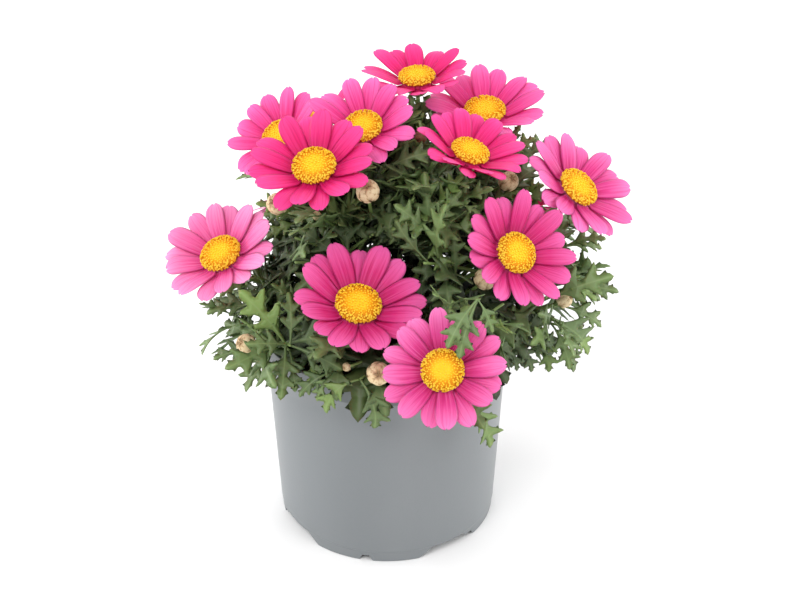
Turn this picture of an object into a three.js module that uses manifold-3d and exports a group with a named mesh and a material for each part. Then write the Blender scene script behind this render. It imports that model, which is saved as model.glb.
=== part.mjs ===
// A marguerite daisy in a grey grower's pot: leafy stems stand in the soil and carry pink blooms
// and cream buds. Millimetres, +Z up, the middle of the pot's foot at the origin, front towards -Y.

import * as THREE from "three";
import { mergeVertices } from "three/addons/utils/BufferGeometryUtils.js";
import Module from "manifold-3d";

const wasm = await Module();
wasm.setup();

const UP = new THREE.Vector3(0, 0, 1);
const GOLDEN_TURN = THREE.MathUtils.degToRad(137.5);

// Pot
const POT_HEIGHT = 105;
const RIM_RADIUS = 60;
const BAND_HEIGHT = 9;
const BAND_STEP = 1.1;
const FOOT_RADIUS = 54.4;
const WALL = 1.6;
const FOOT_LINE_HEIGHT = 6;
const FOOT_LINE_STEP = 0.3;
const FLOOR_HEIGHT = 7;
const PAD_RADIUS = 15;
const PAD_SLOPE = 1.2;
const POT_SEGMENTS = 32;
const DRAIN_COUNT = 6;
const DRAIN_RADIUS = 4;
const DRAIN_CIRCLE = 30;
const DRAIN_SIDES = 10;
const ARCH = { count: 6, first: -101.5, width: 6.5, top: 3.5, height: 3 };
const RECESS = { count: 4, first: -56.5, width: 32, top: 18, height: 5 };
const CUT_INNER = 47;
const CUT_DEPTH = 12;

// Soil
const CLEARANCE = 0.3;
const SOIL_HEIGHT = 92;
const SOIL_RELIEF = 1.1;
const SOIL_SEGMENTS = 20;
const SOIL_RINGS = [40, 25, 11];
const SOIL_SLACK = 0.4;
const HOLE_DEPTH = 12;
const HOLE_RADIUS = 2.2;

// Stems
const STEM_RADIUS = 1.3;
const STEM_SIDES = 5;
const STEM_STEPS = 7;
const STALK_RADIUS = 0.9;
const STALK_SIDES = 4;
const STALK_STEPS = 3;
const FOOT_SPREAD = 0.3;
const RISE_SHARE = 0.5;
const NECK_SHARE = 0.3;

// Blooms: one bloom's own z axis is the way it faces, and its z = 0 is the top of the green cup.
const DISC_CENTRE = 5;
const DISC_SHARE = 0.172;
const DISC_HEIGHT = 3.6;
const DISC_BUMP = 0.35;
const DISC_SEGMENTS = 10;
const DISC_KNOBS = 5;
const DISC_EDGE = { height: 0, share: 0.9 };
const DISC_BELLY = { height: 0.3, share: 1 };
const DISC_SHOULDER = { height: 0.72, share: 0.78 };
const DISC_CROWN = { height: 1, share: 0.4 };
const DISC_DIMPLE = 0.06;
const HUB_SHARE = 1.1;
const PETAL_THICKNESS = 0.75;
const PETAL_REACH = [0.92, 1.03];
const PETAL_HALF_WIDTH = [0.145, 0.175];
const PETAL_STRAY = 0.14;
const PETAL_WIDEST_AT = 0.62;
const PETAL_CURL = 0.35;
const LOWER_LAYER = CLEARANCE + PETAL_THICKNESS / 2;
const LAYER_GAP = 0.6;
const UPPER_LAYER = LOWER_LAYER + PETAL_THICKNESS + LAYER_GAP;
const CUP_DEPTH = 6.5;
const CUP_SEGMENTS = 8;
const CUP_RIDGE = 0.07;
const CUP_RIM_SHARE = 0.8;
const CUP_WAIST = { height: 0.6, share: 0.78 };
const CUP_NECK = 1.15;

// Buds: rings of a bud as shares of its radius, height and width.
const BUD_SEGMENTS = 10;
const BUD_SCALE_RISE = 0.09;
const BUD_TOP_DIMPLE = 0.5;
const BUD_FOOT_SHARE = 0.86;
const BUD_TOP_SHARE = 0.84;
const BUD_RINGS = [[-BUD_FOOT_SHARE, 0.42], [-0.45, 0.86], [0.12, 0.95], [0.58, 0.72], [BUD_TOP_SHARE, 0.36]];
const STALK_CUP_RADIUS = 2.2;
const STALK_CUP_DEPTH = 1.4;
const STALK_CUP_SEGMENTS = 6;
const STALK_BULGE_AT = 0.6;
const STALK_DIP = 0.15;

// Leaves: outline of one half as shares of the length, from the root to the tip.
const LEAF_THICKNESS = 0.7;
const LEAF_CUP = 0.25;
const LEAF_GAP = 0.4;
const LEAF_HALF = [
  [0, 0.022],
  [0.36, 0.034],
  [0.57, 0.235],
  [0.52, 0.055],
  [0.8, 0.21],
  [0.76, 0.055],
];
const LONGEST_LEAF = 46;
const SHORTEST_LEAF = 32;
const LOWEST_LEAF = 0.13;
const HIGHEST_ON_STEM = 0.86;
const HIGHEST_ON_SHOOT = 0.92;
const LEAF_UPRIGHT = 0.4;
const LEAF_RISE = [28, 58];
const LEAF_DROOP = [25, 65];
const LEAF_SIZES = [0.85, 1.15];
const LEAF_TRIES = 14;
const LEAF_STRIDE = 5;
const LEAVES_ON_STEM = 4;
const LEAVES_ON_SHOOT = 5;

// Colours and roughness
const HOT_PINK = 0xe2348c;
const DEEP_PINK = 0xd63c8e;
const ORCHID = 0xe365ab;
const PALE_PINK = 0xe98bbd;
const PETAL_ROUGHNESS = 0.55;
const DISC_YELLOW = 0xf2b21e;
const DISC_ROUGHNESS = 0.8;
const BUD_CREAM = 0xc9b083;
const BUD_ROUGHNESS = 0.7;
const POT_GREY = 0x9a9fa2;
const POT_ROUGHNESS = 0.5;
const SOIL_BROWN = 0x3a2a1e;
const SOIL_ROUGHNESS = 0.95;
const LEAF_GREEN = 0x4c6a3f;
const LEAF_ROUGHNESS = 0.7;

function bloom(name, at, across, azimuth, elevation, turn, petals, rise, colour) {
  return {
    name,
    at: new THREE.Vector3(...at),
    across,
    facing: direction(azimuth, elevation),
    turn: THREE.MathUtils.degToRad(turn),
    petals,
    rise,
    colour,
  };
}

// Each bloom: middle of its disc, width over the petals, the way it faces (azimuth and elevation in
// degrees), a turn about that way, the number of its petals, how far their tips rise, and their colour.
const BLOOMS = [
  bloom("top", [14.7, 37, 216.8], 50, -110, 81, 5, 14, 7.5, HOT_PINK),
  bloom("top_right", [46.7, 33, 201.3], 56.5, -96, 73, 7, 16, 8.5, ORCHID),
  bloom("upper_right", [37.8, -13, 201], 50.5, -38, 70, 8, 16, 8.5, HOT_PINK),
  bloom("far_right", [90.1, 6, 173.7], 58, -35, 52, 12, 16, 6, DEEP_PINK),
  bloom("right", [58.1, -36, 161.7], 54.5, -57, 41, 18, 16, 8, DEEP_PINK),
  bloom("low_front", [23.2, -89.5, 134.9], 53, -93, 41, 7, 16, 7, DEEP_PINK),
  bloom("middle_front", [-12.1, -54.5, 147.4], 59, -72, 64, 8, 16, 9.5, DEEP_PINK),
  bloom("far_left", [-76.5, -14, 150.7], 56.5, -128, 60, 1, 16, 8, PALE_PINK),
  bloom("upper_left", [-31.2, -27, 200.7], 56, -102, 62, 0, 16, 9, HOT_PINK),
  bloom("top_middle", [-10.3, 1.5, 206.8], 50.5, -106, 61, 18, 14, 8.5, ORCHID),
  bloom("top_left", [-49.9, 15, 196], 49, -132, 50, 8, 14, 6, HOT_PINK),
  bloom("peeking", [-33, 46, 194], 44, 150, 62, 0, 14, 7, HOT_PINK),
  bloom("back_left", [-46, 62, 143], 50, 138, 50, 10, 14, 7, ORCHID),
  bloom("back_middle", [10, 80, 139], 53, 88, 45, 3, 16, 7, DEEP_PINK),
  bloom("back_right", [69, 58, 143], 51, 40, 50, 0, 14, 6.5, HOT_PINK),
];

// Leafy shoots that end in a bud: where the shoot ends and the way it points there.
const SHOOTS = [
  { name: "left_shoot", end: [-61, -40, 116], azimuth: -140, elevation: 35 },
  { name: "right_shoot", end: [80, -15, 123], azimuth: -12, elevation: 40 },
];

// Buds on side stalks: the middle, the width, and the stem and share of its bend the stalk springs from.
const SIDE_BUDS = [
  { name: "upper", at: [-8, -24, 186], width: 10, stem: "top_middle", share: 0.45 },
  { name: "left_upper", at: [-49, -12, 174], width: 9.5, stem: "top_left", share: 0.62 },
  { name: "front_low", at: [-3.7, -68, 119], width: 10, stem: "middle_front", share: 0.3 },
  { name: "right_middle", at: [44.4, -31, 145.2], width: 9.5, stem: "right", share: 0.35 },
  { name: "right_upper", at: [56.5, 4, 177], width: 9, stem: "top_right", share: 0.6 },
  { name: "back", at: [-18, 68, 152], width: 9, stem: "peeking", share: 0.45 },
];

// Buds at the end of a shoot.
const END_BUDS = [
  { name: "left_low", width: 9, stem: "left_shoot" },
  { name: "right_low", width: 8, stem: "right_shoot" },
];

// Leaves aimed by hand, the ones that hang over the rim: stem, share of its bend, tip, droop in degrees.
const AIMED_LEAVES = [
  { stem: "middle_front", share: 0.15, tip: [-13, -71, 95], droop: 100 },
  { stem: "right", share: 0.16, tip: [50, -50, 92], droop: 110 },
];

// A draw between 0 and 1 that is the same each time for the same three numbers.
function draw(a, b, c) {
  const value = Math.sin(a * 12.9898 + b * 78.233 + c * 37.719) * 43758.5453;
  return value - Math.floor(value);
}

function mix(from, to, share) {
  return from + (to - from) * share;
}

// A closed geometry as a solid that can be joined and cut.
function solid(geometry) {
  geometry.deleteAttribute("normal");
  geometry.deleteAttribute("uv");
  const merged = mergeVertices(geometry, 1e-4);
  const corners = merged.index.array;
  const kept = [];
  for (let i = 0; i < corners.length; i += 3) {
    const [a, b, c] = [corners[i], corners[i + 1], corners[i + 2]];
    if (a !== b && b !== c && c !== a) {
      kept.push(a, b, c);
    }
  }
  const vertProperties = new Float32Array(merged.attributes.position.array);
  return new wasm.Manifold(new wasm.Mesh({ numProp: 3, vertProperties, triVerts: new Uint32Array(kept) }));
}

function geometryOf(body) {
  const mesh = body.getMesh();
  const geometry = new THREE.BufferGeometry();
  geometry.setAttribute("position", new THREE.BufferAttribute(new Float32Array(mesh.vertProperties), 3));
  geometry.setIndex(Array.from(mesh.triVerts));
  geometry.computeVertexNormals();
  return geometry;
}

// A solid of revolution round Z through [radius, height] points.
function turned(points, segments) {
  const profile = points.map(([radius, height]) => new THREE.Vector2(radius, height));
  return solid(new THREE.LatheGeometry(profile, segments).rotateX(Math.PI / 2));
}

// A closed body of stacked rings round Z, closed by a point at each end.
// Each ring is { height, radius(angle) }.
function stacked(rings, segments, lowEnd, highEnd) {
  const points = [0, 0, lowEnd];
  for (const ring of rings) {
    for (let i = 0; i < segments; i += 1) {
      const angle = (i / segments) * 2 * Math.PI;
      const radius = ring.radius(angle);
      points.push(radius * Math.cos(angle), radius * Math.sin(angle), ring.height);
    }
  }
  points.push(0, 0, highEnd);
  const top = points.length / 3 - 1;
  const corner = (ring, i) => 1 + ring * segments + (i % segments);
  const index = [];
  for (let i = 0; i < segments; i += 1) {
    index.push(0, corner(0, i + 1), corner(0, i));
    for (let ring = 0; ring + 1 < rings.length; ring += 1) {
      index.push(corner(ring, i), corner(ring, i + 1), corner(ring + 1, i));
      index.push(corner(ring, i + 1), corner(ring + 1, i + 1), corner(ring + 1, i));
    }
    index.push(top, corner(rings.length - 1, i), corner(rings.length - 1, i + 1));
  }
  const geometry = new THREE.BufferGeometry();
  geometry.setAttribute("position", new THREE.Float32BufferAttribute(points, 3));
  geometry.setIndex(index);
  return solid(geometry);
}

// A thin closed plate from flat points, the faces between them and the rim that bounds them.
// place(x, y, side) gives the point of the upper (side 1) or lower (side -1) face.
function thinPlate(flat, faces, rim, place) {
  const count = flat.length;
  const points = [];
  for (const side of [1, -1]) {
    for (const { x, y } of flat) {
      points.push(...place(x, y, side).toArray());
    }
  }
  const index = [];
  for (const [a, b, c] of faces) {
    index.push(a, b, c, c + count, b + count, a + count);
  }
  for (let i = 0; i < rim.length; i += 1) {
    const here = rim[i];
    const next = rim[(i + 1) % rim.length];
    index.push(here, here + count, next, next, here + count, next + count);
  }
  const geometry = new THREE.BufferGeometry();
  geometry.setAttribute("position", new THREE.Float32BufferAttribute(points, 3));
  geometry.setIndex(index);
  return solid(geometry);
}

// A round-ish bar along a curve.
function bar(path, radius, sides, steps) {
  const corners = [];
  for (let i = 0; i < sides; i += 1) {
    const angle = (i / sides) * 2 * Math.PI;
    corners.push(new THREE.Vector2(radius * Math.cos(angle), radius * Math.sin(angle)));
  }
  const shape = new THREE.Shape(corners);
  return solid(new THREE.ExtrudeGeometry(shape, { steps, extrudePath: path, bevelEnabled: false }));
}

function direction(azimuth, elevation) {
  const a = THREE.MathUtils.degToRad(azimuth);
  const e = THREE.MathUtils.degToRad(elevation);
  return new THREE.Vector3(Math.cos(e) * Math.cos(a), Math.cos(e) * Math.sin(a), Math.sin(e));
}

// The frame with its z axis along a facing direction and its x axis level.
function facingFrame(origin, facing, turn) {
  const across = new THREE.Vector3().crossVectors(UP, facing).normalize();
  const upward = new THREE.Vector3().crossVectors(facing, across);
  const frame = new THREE.Matrix4().makeBasis(across, upward, facing).setPosition(origin);
  return frame.multiply(new THREE.Matrix4().makeRotationZ(turn));
}

// A trapezoid cut through the pot's skirt, open at the foot.
function skirtCut(cut, azimuth) {
  const shape = new THREE.Shape([
    new THREE.Vector2(-cut.width / 2, 0),
    new THREE.Vector2(-cut.width / 2, -1),
    new THREE.Vector2(cut.width / 2, -1),
    new THREE.Vector2(cut.width / 2, 0),
    new THREE.Vector2(cut.top / 2, cut.height),
    new THREE.Vector2(-cut.top / 2, cut.height),
  ]);
  const geometry = new THREE.ExtrudeGeometry(shape, { depth: CUT_DEPTH, bevelEnabled: false });
  const outward = direction(azimuth, 0);
  const along = new THREE.Vector3().crossVectors(UP, outward);
  const frame = new THREE.Matrix4().makeBasis(along, UP, outward);
  frame.setPosition(outward.clone().multiplyScalar(CUT_INNER));
  return solid(geometry.applyMatrix4(frame));
}

function upright(radius, low, high, sides, x, y) {
  const geometry = new THREE.CylinderGeometry(radius, radius, high - low, sides);
  geometry.rotateX(Math.PI / 2);
  return solid(geometry.translate(x, y, (low + high) / 2));
}

function wallRadius(height) {
  return mix(FOOT_RADIUS, RIM_RADIUS - BAND_STEP, height / POT_HEIGHT);
}

function potBody() {
  const bandFoot = POT_HEIGHT - BAND_HEIGHT;
  let pot = turned([
    [0, 0],
    [PAD_RADIUS, 0],
    [PAD_RADIUS + PAD_SLOPE, FLOOR_HEIGHT],
    [wallRadius(FLOOR_HEIGHT) - WALL, FLOOR_HEIGHT],
    [FOOT_RADIUS - WALL, 0],
    [FOOT_RADIUS - FOOT_LINE_STEP, 0],
    [wallRadius(FOOT_LINE_HEIGHT) - FOOT_LINE_STEP, FOOT_LINE_HEIGHT],
    [wallRadius(FOOT_LINE_HEIGHT), FOOT_LINE_HEIGHT + FOOT_LINE_STEP],
    [wallRadius(bandFoot), bandFoot],
    [RIM_RADIUS - 0.2, bandFoot + 0.4],
    [RIM_RADIUS, POT_HEIGHT - 0.6],
    [RIM_RADIUS - 0.6, POT_HEIGHT],
    [RIM_RADIUS - WALL, POT_HEIGHT],
    [wallRadius(bandFoot) - WALL, bandFoot],
    [wallRadius(FLOOR_HEIGHT + WALL) - WALL, FLOOR_HEIGHT + WALL],
    [PAD_RADIUS - WALL + PAD_SLOPE, FLOOR_HEIGHT + WALL],
    [PAD_RADIUS - WALL, WALL],
    [0, WALL],
  ], POT_SEGMENTS);
  for (let i = 0; i < DRAIN_COUNT; i += 1) {
    const hole = direction((360 / DRAIN_COUNT) * i, 0).multiplyScalar(DRAIN_CIRCLE);
    const [low, high] = [FLOOR_HEIGHT - 1, FLOOR_HEIGHT + WALL + 1];
    pot = pot.subtract(upright(DRAIN_RADIUS, low, high, DRAIN_SIDES, hole.x, hole.y));
  }
  for (const cut of [ARCH, RECESS]) {
    for (let i = 0; i < cut.count; i += 1) {
      pot = pot.subtract(skirtCut(cut, cut.first + (360 / cut.count) * i));
    }
  }
  return pot;
}

function soilHeight(x, y) {
  const waves = Math.sin(x * 0.21 + 1) * Math.cos(y * 0.17) + 0.6 * Math.sin(y * 0.31 - x * 0.12);
  return SOIL_HEIGHT + SOIL_RELIEF * waves;
}

// The soil fills the pot down to its floor and into the dish in its middle.
function soilBody(feet) {
  const floor = FLOOR_HEIGHT + WALL + CLEARANCE;
  const inset = WALL + CLEARANCE + SOIL_SLACK;
  const profile = [
    [0, WALL + CLEARANCE],
    [PAD_RADIUS - inset, WALL + CLEARANCE],
    [PAD_RADIUS - inset + PAD_SLOPE, floor],
    [wallRadius(floor) - inset, floor],
    [wallRadius(SOIL_HEIGHT) - inset, SOIL_HEIGHT],
    ...SOIL_RINGS.map((radius) => [radius, SOIL_HEIGHT]),
    [0, SOIL_HEIGHT],
  ].map(([radius, height]) => new THREE.Vector2(radius, height));
  const geometry = new THREE.LatheGeometry(profile, SOIL_SEGMENTS).rotateX(Math.PI / 2);
  const position = geometry.attributes.position;
  for (let i = 0; i < position.count; i += 1) {
    if (position.getZ(i) > SOIL_HEIGHT - 1) {
      position.setZ(i, soilHeight(position.getX(i), position.getY(i)));
    }
  }
  let soil = solid(geometry);
  for (const foot of feet) {
    const top = SOIL_HEIGHT + 4 * SOIL_RELIEF;
    soil = soil.subtract(upright(HOLE_RADIUS, SOIL_HEIGHT - HOLE_DEPTH, top, 6, foot.x, foot.y));
  }
  return soil;
}

// One layer of petals: a thin star round a flat middle, split into triangles alike on both faces.
// Outside the middle the petals rise, so that the bloom is a shallow bowl.
function petalLayer(flower, number, first, height) {
  const hubRadius = flower.across * DISC_SHARE * HUB_SHARE;
  const count = flower.petals / 2;
  const step = (2 * Math.PI) / count;
  const flat = [new THREE.Vector2(0, 0)];
  const faces = [];
  const rim = [];
  for (let i = 0; i < count; i += 1) {
    const petal = 2 * i + first;
    const angle = step * (i + first / 2 + PETAL_STRAY * (draw(number, petal, 1) - 0.5));
    const reach = (flower.across / 2) * mix(...PETAL_REACH, draw(number, petal, 2));
    const widest = mix(hubRadius, reach, PETAL_WIDEST_AT);
    const half = (flower.across / 2) * mix(...PETAL_HALF_WIDTH, draw(number, petal, 3));
    const middle = new THREE.Vector2();
    const start = flat.length;
    flat.push(new THREE.Vector2(hubRadius, 0).rotateAround(middle, step * (i + first / 2 - 0.5)));
    for (const [along, side] of [[widest, -half], [reach, -half / 2], [reach, half / 2], [widest, half]]) {
      flat.push(new THREE.Vector2(along, side).rotateAround(middle, angle));
    }
    const next = i + 1 < count ? start + 5 : 1;
    faces.push([0, start, next], [start, start + 1, start + 4], [start, start + 4, next]);
    faces.push([start + 1, start + 2, start + 3], [start + 1, start + 3, start + 4]);
    rim.push(start, start + 1, start + 2, start + 3, start + 4);
  }
  return thinPlate(flat, faces, rim, (x, y, face) => {
    const radius = Math.hypot(x, y);
    const share = Math.max(0, (radius - hubRadius) / (flower.across / 2 - hubRadius));
    const dips = radius === 0 && face < 0 && height > LOWER_LAYER;
    const level = dips ? LOWER_LAYER : height + (face * PETAL_THICKNESS) / 2;
    return new THREE.Vector3(x, y, level + flower.rise * share * (1 + PETAL_CURL * (1 - share)));
  });
}

// Two layers of petals; the middle of the upper one dips into the lower one and joins them.
function petalBody(flower, number) {
  return petalLayer(flower, number, 0, UPPER_LAYER).add(petalLayer(flower, number, 1, LOWER_LAYER));
}

// The yellow middle: a low dome with rings of floret knobs.
function discBody(flower) {
  const radius = flower.across * DISC_SHARE;
  const base = UPPER_LAYER + PETAL_THICKNESS / 2 + CLEARANCE;
  const ring = ({ height, share }, phase) => ({
    height: base + DISC_HEIGHT * height,
    radius: (angle) => radius * share + DISC_BUMP * Math.cos(angle * DISC_KNOBS + phase),
  });
  const rings = [
    ring(DISC_EDGE, 0),
    ring(DISC_BELLY, 0),
    ring(DISC_SHOULDER, Math.PI),
    ring(DISC_CROWN, 0),
  ];
  return stacked(rings, DISC_SEGMENTS, base, base + DISC_HEIGHT * (1 - DISC_DIMPLE));
}

// The green cup of bracts under a bloom, in the bloom's own frame.
function cupBody(flower) {
  const radius = flower.across * DISC_SHARE * CUP_RIM_SHARE;
  const ridged = (share, phase) => (angle) => (
    radius * share * (1 + CUP_RIDGE * Math.cos(angle * (CUP_SEGMENTS / 2) + phase))
  );
  const rings = [
    { height: -CUP_DEPTH, radius: () => STEM_RADIUS * CUP_NECK },
    { height: -CUP_DEPTH * CUP_WAIST.height, radius: ridged(CUP_WAIST.share, 0) },
    { height: 0, radius: ridged(1, Math.PI) },
  ];
  return stacked(rings, CUP_SEGMENTS, -CUP_DEPTH, 0);
}

// A bud of cream bracts that overlap like shingles, with a crease on top. Its own z axis is the stalk's.
function budBody(bud) {
  const radius = bud.width / 2;
  const count = BUD_SEGMENTS / 2;
  const rings = BUD_RINGS.map(([height, share], row) => ({
    height: radius * height,
    radius: (angle) => radius * share * (1 + BUD_SCALE_RISE * Math.cos(angle * count + row * Math.PI)),
  }));
  const top = radius * BUD_TOP_SHARE - BUD_TOP_DIMPLE;
  return stacked(rings, BUD_SEGMENTS, -radius * BUD_FOOT_SHARE, top);
}

// A stem as a straight foot in the soil and one smooth bend up to its end.
function stemPlan(end, facing) {
  const foot = new THREE.Vector3(end.x * FOOT_SPREAD, end.y * FOOT_SPREAD, SOIL_HEIGHT);
  const reach = foot.distanceTo(end);
  const rise = foot.clone().addScaledVector(UP, reach * RISE_SHARE);
  const neck = end.clone().addScaledVector(facing, -reach * NECK_SHARE);
  const bend = new THREE.CubicBezierCurve3(foot, rise, neck, end);
  return { foot, end, facing, bend, reach };
}

function stemBar(plan) {
  const path = new THREE.CurvePath();
  const bottom = plan.foot.clone().setZ(SOIL_HEIGHT - HOLE_DEPTH + CLEARANCE);
  path.add(new THREE.LineCurve3(bottom, plan.foot));
  path.add(plan.bend);
  return bar(path, STEM_RADIUS, STEM_SIDES, STEM_STEPS);
}

// How far below a bud's middle its stalk ends.
function budSeat(bud) {
  return (bud.width / 2) * BUD_FOOT_SHARE + CLEARANCE;
}

// The small green cup a bud stands on, in the bud's own frame.
function budCup(bud) {
  const seat = budSeat(bud);
  return turned([
    [0, -seat - STALK_CUP_DEPTH],
    [STALK_RADIUS, -seat - STALK_CUP_DEPTH],
    [STALK_CUP_RADIUS, -seat],
    [0, -seat],
  ], STALK_CUP_SEGMENTS);
}

// A side stalk leaves its stem, dips a little and comes up under its bud.
function sideStalk(bud, plan) {
  const root = plan.bend.getPoint(bud.share);
  const middle = new THREE.Vector3(...bud.at);
  const reach = root.distanceTo(middle);
  const bulge = root.clone().lerp(middle, STALK_BULGE_AT).addScaledVector(UP, -reach * STALK_DIP);
  const facing = middle.clone().sub(bulge).normalize();
  const end = middle.clone().addScaledVector(facing, -budSeat(bud));
  const frame = facingFrame(middle, facing, 0);
  const path = new THREE.QuadraticBezierCurve3(root, bulge, end);
  const stalk = bar(path, STALK_RADIUS, STALK_SIDES, STALK_STEPS);
  return { frame, body: stalk.add(budCup(bud).transform(frame.elements)) };
}

// The bud at the end of a shoot stands in line with it.
function endStalk(bud, plan) {
  const middle = plan.end.clone().addScaledVector(plan.facing, budSeat(bud));
  const frame = facingFrame(middle, plan.facing, 0);
  return { frame, body: budCup(bud).transform(frame.elements) };
}

function leafOutline(length) {
  const lower = LEAF_HALF.map(([along, across]) => new THREE.Vector2(along * length, -across * length));
  const upper = LEAF_HALF.map(([along, across]) => new THREE.Vector2(along * length, across * length));
  return [...lower, new THREE.Vector2(length, 0), ...upper.reverse()];
}

// A leaf springs from the middle of the stem, rises at one angle and droops along an arc.
function leafBody(leaf) {
  const { root, out, stemwise, rise, droop, length } = leaf;
  const across = new THREE.Vector3().crossVectors(stemwise, out);
  const outline = leafOutline(length);
  const faces = THREE.ShapeUtils.triangulateShape(outline, []);
  return thinPlate(outline, faces, [...outline.keys()], (along, side, face) => {
    const angle = rise - (droop * along) / length;
    const forward = (length / droop) * (Math.sin(rise) - Math.sin(angle));
    const upward = (length / droop) * (Math.cos(angle) - Math.cos(rise));
    const lift = LEAF_CUP * Math.abs(side) + (face * LEAF_THICKNESS) / 2;
    return root.clone()
      .addScaledVector(out, forward - Math.sin(angle) * lift)
      .addScaledVector(stemwise, upward + Math.cos(angle) * lift)
      .addScaledVector(across, side);
  });
}

// A leaf of the rule: shares of the stem's bend go up with the leaf's number, turns go round it.
function ruledLeaf(stem, leafNumber) {
  const bend = stem.plan.bend;
  const chance = (what) => draw(stem.number, leafNumber, what);
  const share = mix(LOWEST_LEAF, stem.highestLeaf, (leafNumber + chance(5)) / LEAF_TRIES);
  const stemwise = bend.getTangent(share).lerp(UP, LEAF_UPRIGHT).normalize();
  const turn = GOLDEN_TURN * leafNumber + 2 * Math.PI * draw(stem.number, 0, 6);
  const out = new THREE.Vector3(Math.cos(turn), Math.sin(turn), 0);
  out.addScaledVector(stemwise, -out.dot(stemwise)).normalize();
  return {
    root: bend.getPoint(share),
    out,
    stemwise,
    rise: THREE.MathUtils.degToRad(mix(...LEAF_RISE, chance(7))),
    droop: THREE.MathUtils.degToRad(mix(...LEAF_DROOP, chance(8))),
    length: mix(LONGEST_LEAF, SHORTEST_LEAF, share) * mix(...LEAF_SIZES, chance(9)),
  };
}

// A leaf from a share of a stem's bend to a given tip.
function aimedLeaf(stem, { share, tip, droop }) {
  const root = stem.plan.bend.getPoint(share);
  const chord = new THREE.Vector3(...tip).sub(root);
  const out = new THREE.Vector3(chord.x, chord.y, 0);
  const arc = THREE.MathUtils.degToRad(droop);
  const slope = Math.atan2(chord.z, out.length());
  const length = (chord.length() * arc) / 2 / Math.sin(arc / 2);
  return { root, out: out.normalize(), stemwise: UP, rise: slope + arc / 2, droop: arc, length };
}

function boxesNear(a, b, gap) {
  return [0, 1, 2].every((axis) => a.min[axis] - gap < b.max[axis] && b.min[axis] - gap < a.max[axis]);
}

function clearOf(body, others) {
  const box = body.boundingBox();
  return others.every((other) => (
    !boxesNear(box, other.boundingBox(), LEAF_GAP) || body.minGap(other, LEAF_GAP) >= LEAF_GAP
  ));
}

// Leaves are tried up and down the stem in turn, and one that would touch another piece is left out.
function addLeaves(stem, others) {
  for (const leaf of AIMED_LEAVES.filter((each) => each.stem === stem.name)) {
    stem.body = stem.body.add(leafBody(aimedLeaf(stem, leaf)));
  }
  let carried = 0;
  for (let i = 0; i < LEAF_TRIES && carried < stem.leaves; i += 1) {
    const leaf = leafBody(ruledLeaf(stem, (i * LEAF_STRIDE) % LEAF_TRIES));
    if (clearOf(leaf, others)) {
      stem.body = stem.body.add(leaf);
      carried += 1;
    }
  }
}

function mesh(name, body, colour, roughness) {
  const look = { color: colour, roughness, metalness: 0, flatShading: true };
  const piece = new THREE.Mesh(geometryOf(body), new THREE.MeshStandardMaterial(look));
  piece.name = name;
  return piece;
}

// Builds every piece, in an order that lets the leaves keep clear of what is already there.
function buildDaisy() {
  const daisy = new THREE.Group();
  daisy.name = "marguerite_daisy";
  const placed = [];
  const stems = [];

  function put(name, body, colour, roughness, frame = new THREE.Matrix4()) {
    const piece = mesh(name, body, colour, roughness);
    piece.applyMatrix4(frame);
    daisy.add(piece);
    placed.push(body.transform(frame.elements));
  }

  BLOOMS.forEach((each, index) => {
    const origin = each.at.clone().addScaledVector(each.facing, -DISC_CENTRE);
    const frame = facingFrame(origin, each.facing, each.turn);
    const number = index + 1;
    put(`petals_${each.name}`, petalBody(each, number), each.colour, PETAL_ROUGHNESS, frame);
    put(`disc_${each.name}`, discBody(each), DISC_YELLOW, DISC_ROUGHNESS, frame);
    const plan = stemPlan(origin.addScaledVector(each.facing, -CUP_DEPTH * 0.9), each.facing);
    const body = stemBar(plan).add(cupBody(each).transform(frame.elements));
    const [leaves, highestLeaf] = [LEAVES_ON_STEM, HIGHEST_ON_STEM];
    stems.push({ name: each.name, number, plan, body, leaves, highestLeaf });
  });
  SHOOTS.forEach((shoot, index) => {
    const plan = stemPlan(new THREE.Vector3(...shoot.end), direction(shoot.azimuth, shoot.elevation));
    const number = BLOOMS.length + index + 1;
    const [leaves, highestLeaf] = [LEAVES_ON_SHOOT, HIGHEST_ON_SHOOT];
    stems.push({ name: shoot.name, number, plan, body: stemBar(plan), leaves, highestLeaf });
  });

  const stemOf = (bud) => stems.find((stem) => stem.name === bud.stem);
  for (const [buds, stalkOf] of [[SIDE_BUDS, sideStalk], [END_BUDS, endStalk]]) {
    for (const bud of buds) {
      const stem = stemOf(bud);
      const stalk = stalkOf(bud, stem.plan);
      stem.body = stem.body.add(stalk.body);
      put(`bud_${bud.name}`, budBody(bud), BUD_CREAM, BUD_ROUGHNESS, stalk.frame);
    }
  }

  put("pot", potBody(), POT_GREY, POT_ROUGHNESS);
  put("soil", soilBody(stems.map((stem) => stem.plan.foot)), SOIL_BROWN, SOIL_ROUGHNESS);

  for (const stem of stems) {
    const otherStems = stems.filter((each) => each !== stem).map((each) => each.body);
    addLeaves(stem, [...placed, ...otherStems]);
  }
  for (const stem of stems) {
    put(`stem_${stem.name}`, stem.body, LEAF_GREEN, LEAF_ROUGHNESS);
  }
  return daisy;
}

export default buildDaisy();
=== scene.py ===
"""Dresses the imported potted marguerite: finer petals, florets, leaves, buds, pot and soil on its solids."""

import math

import bpy
import numpy as np
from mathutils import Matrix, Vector
from mathutils.geometry import delaunay_2d_cdt
from mathutils.kdtree import KDTree

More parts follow.
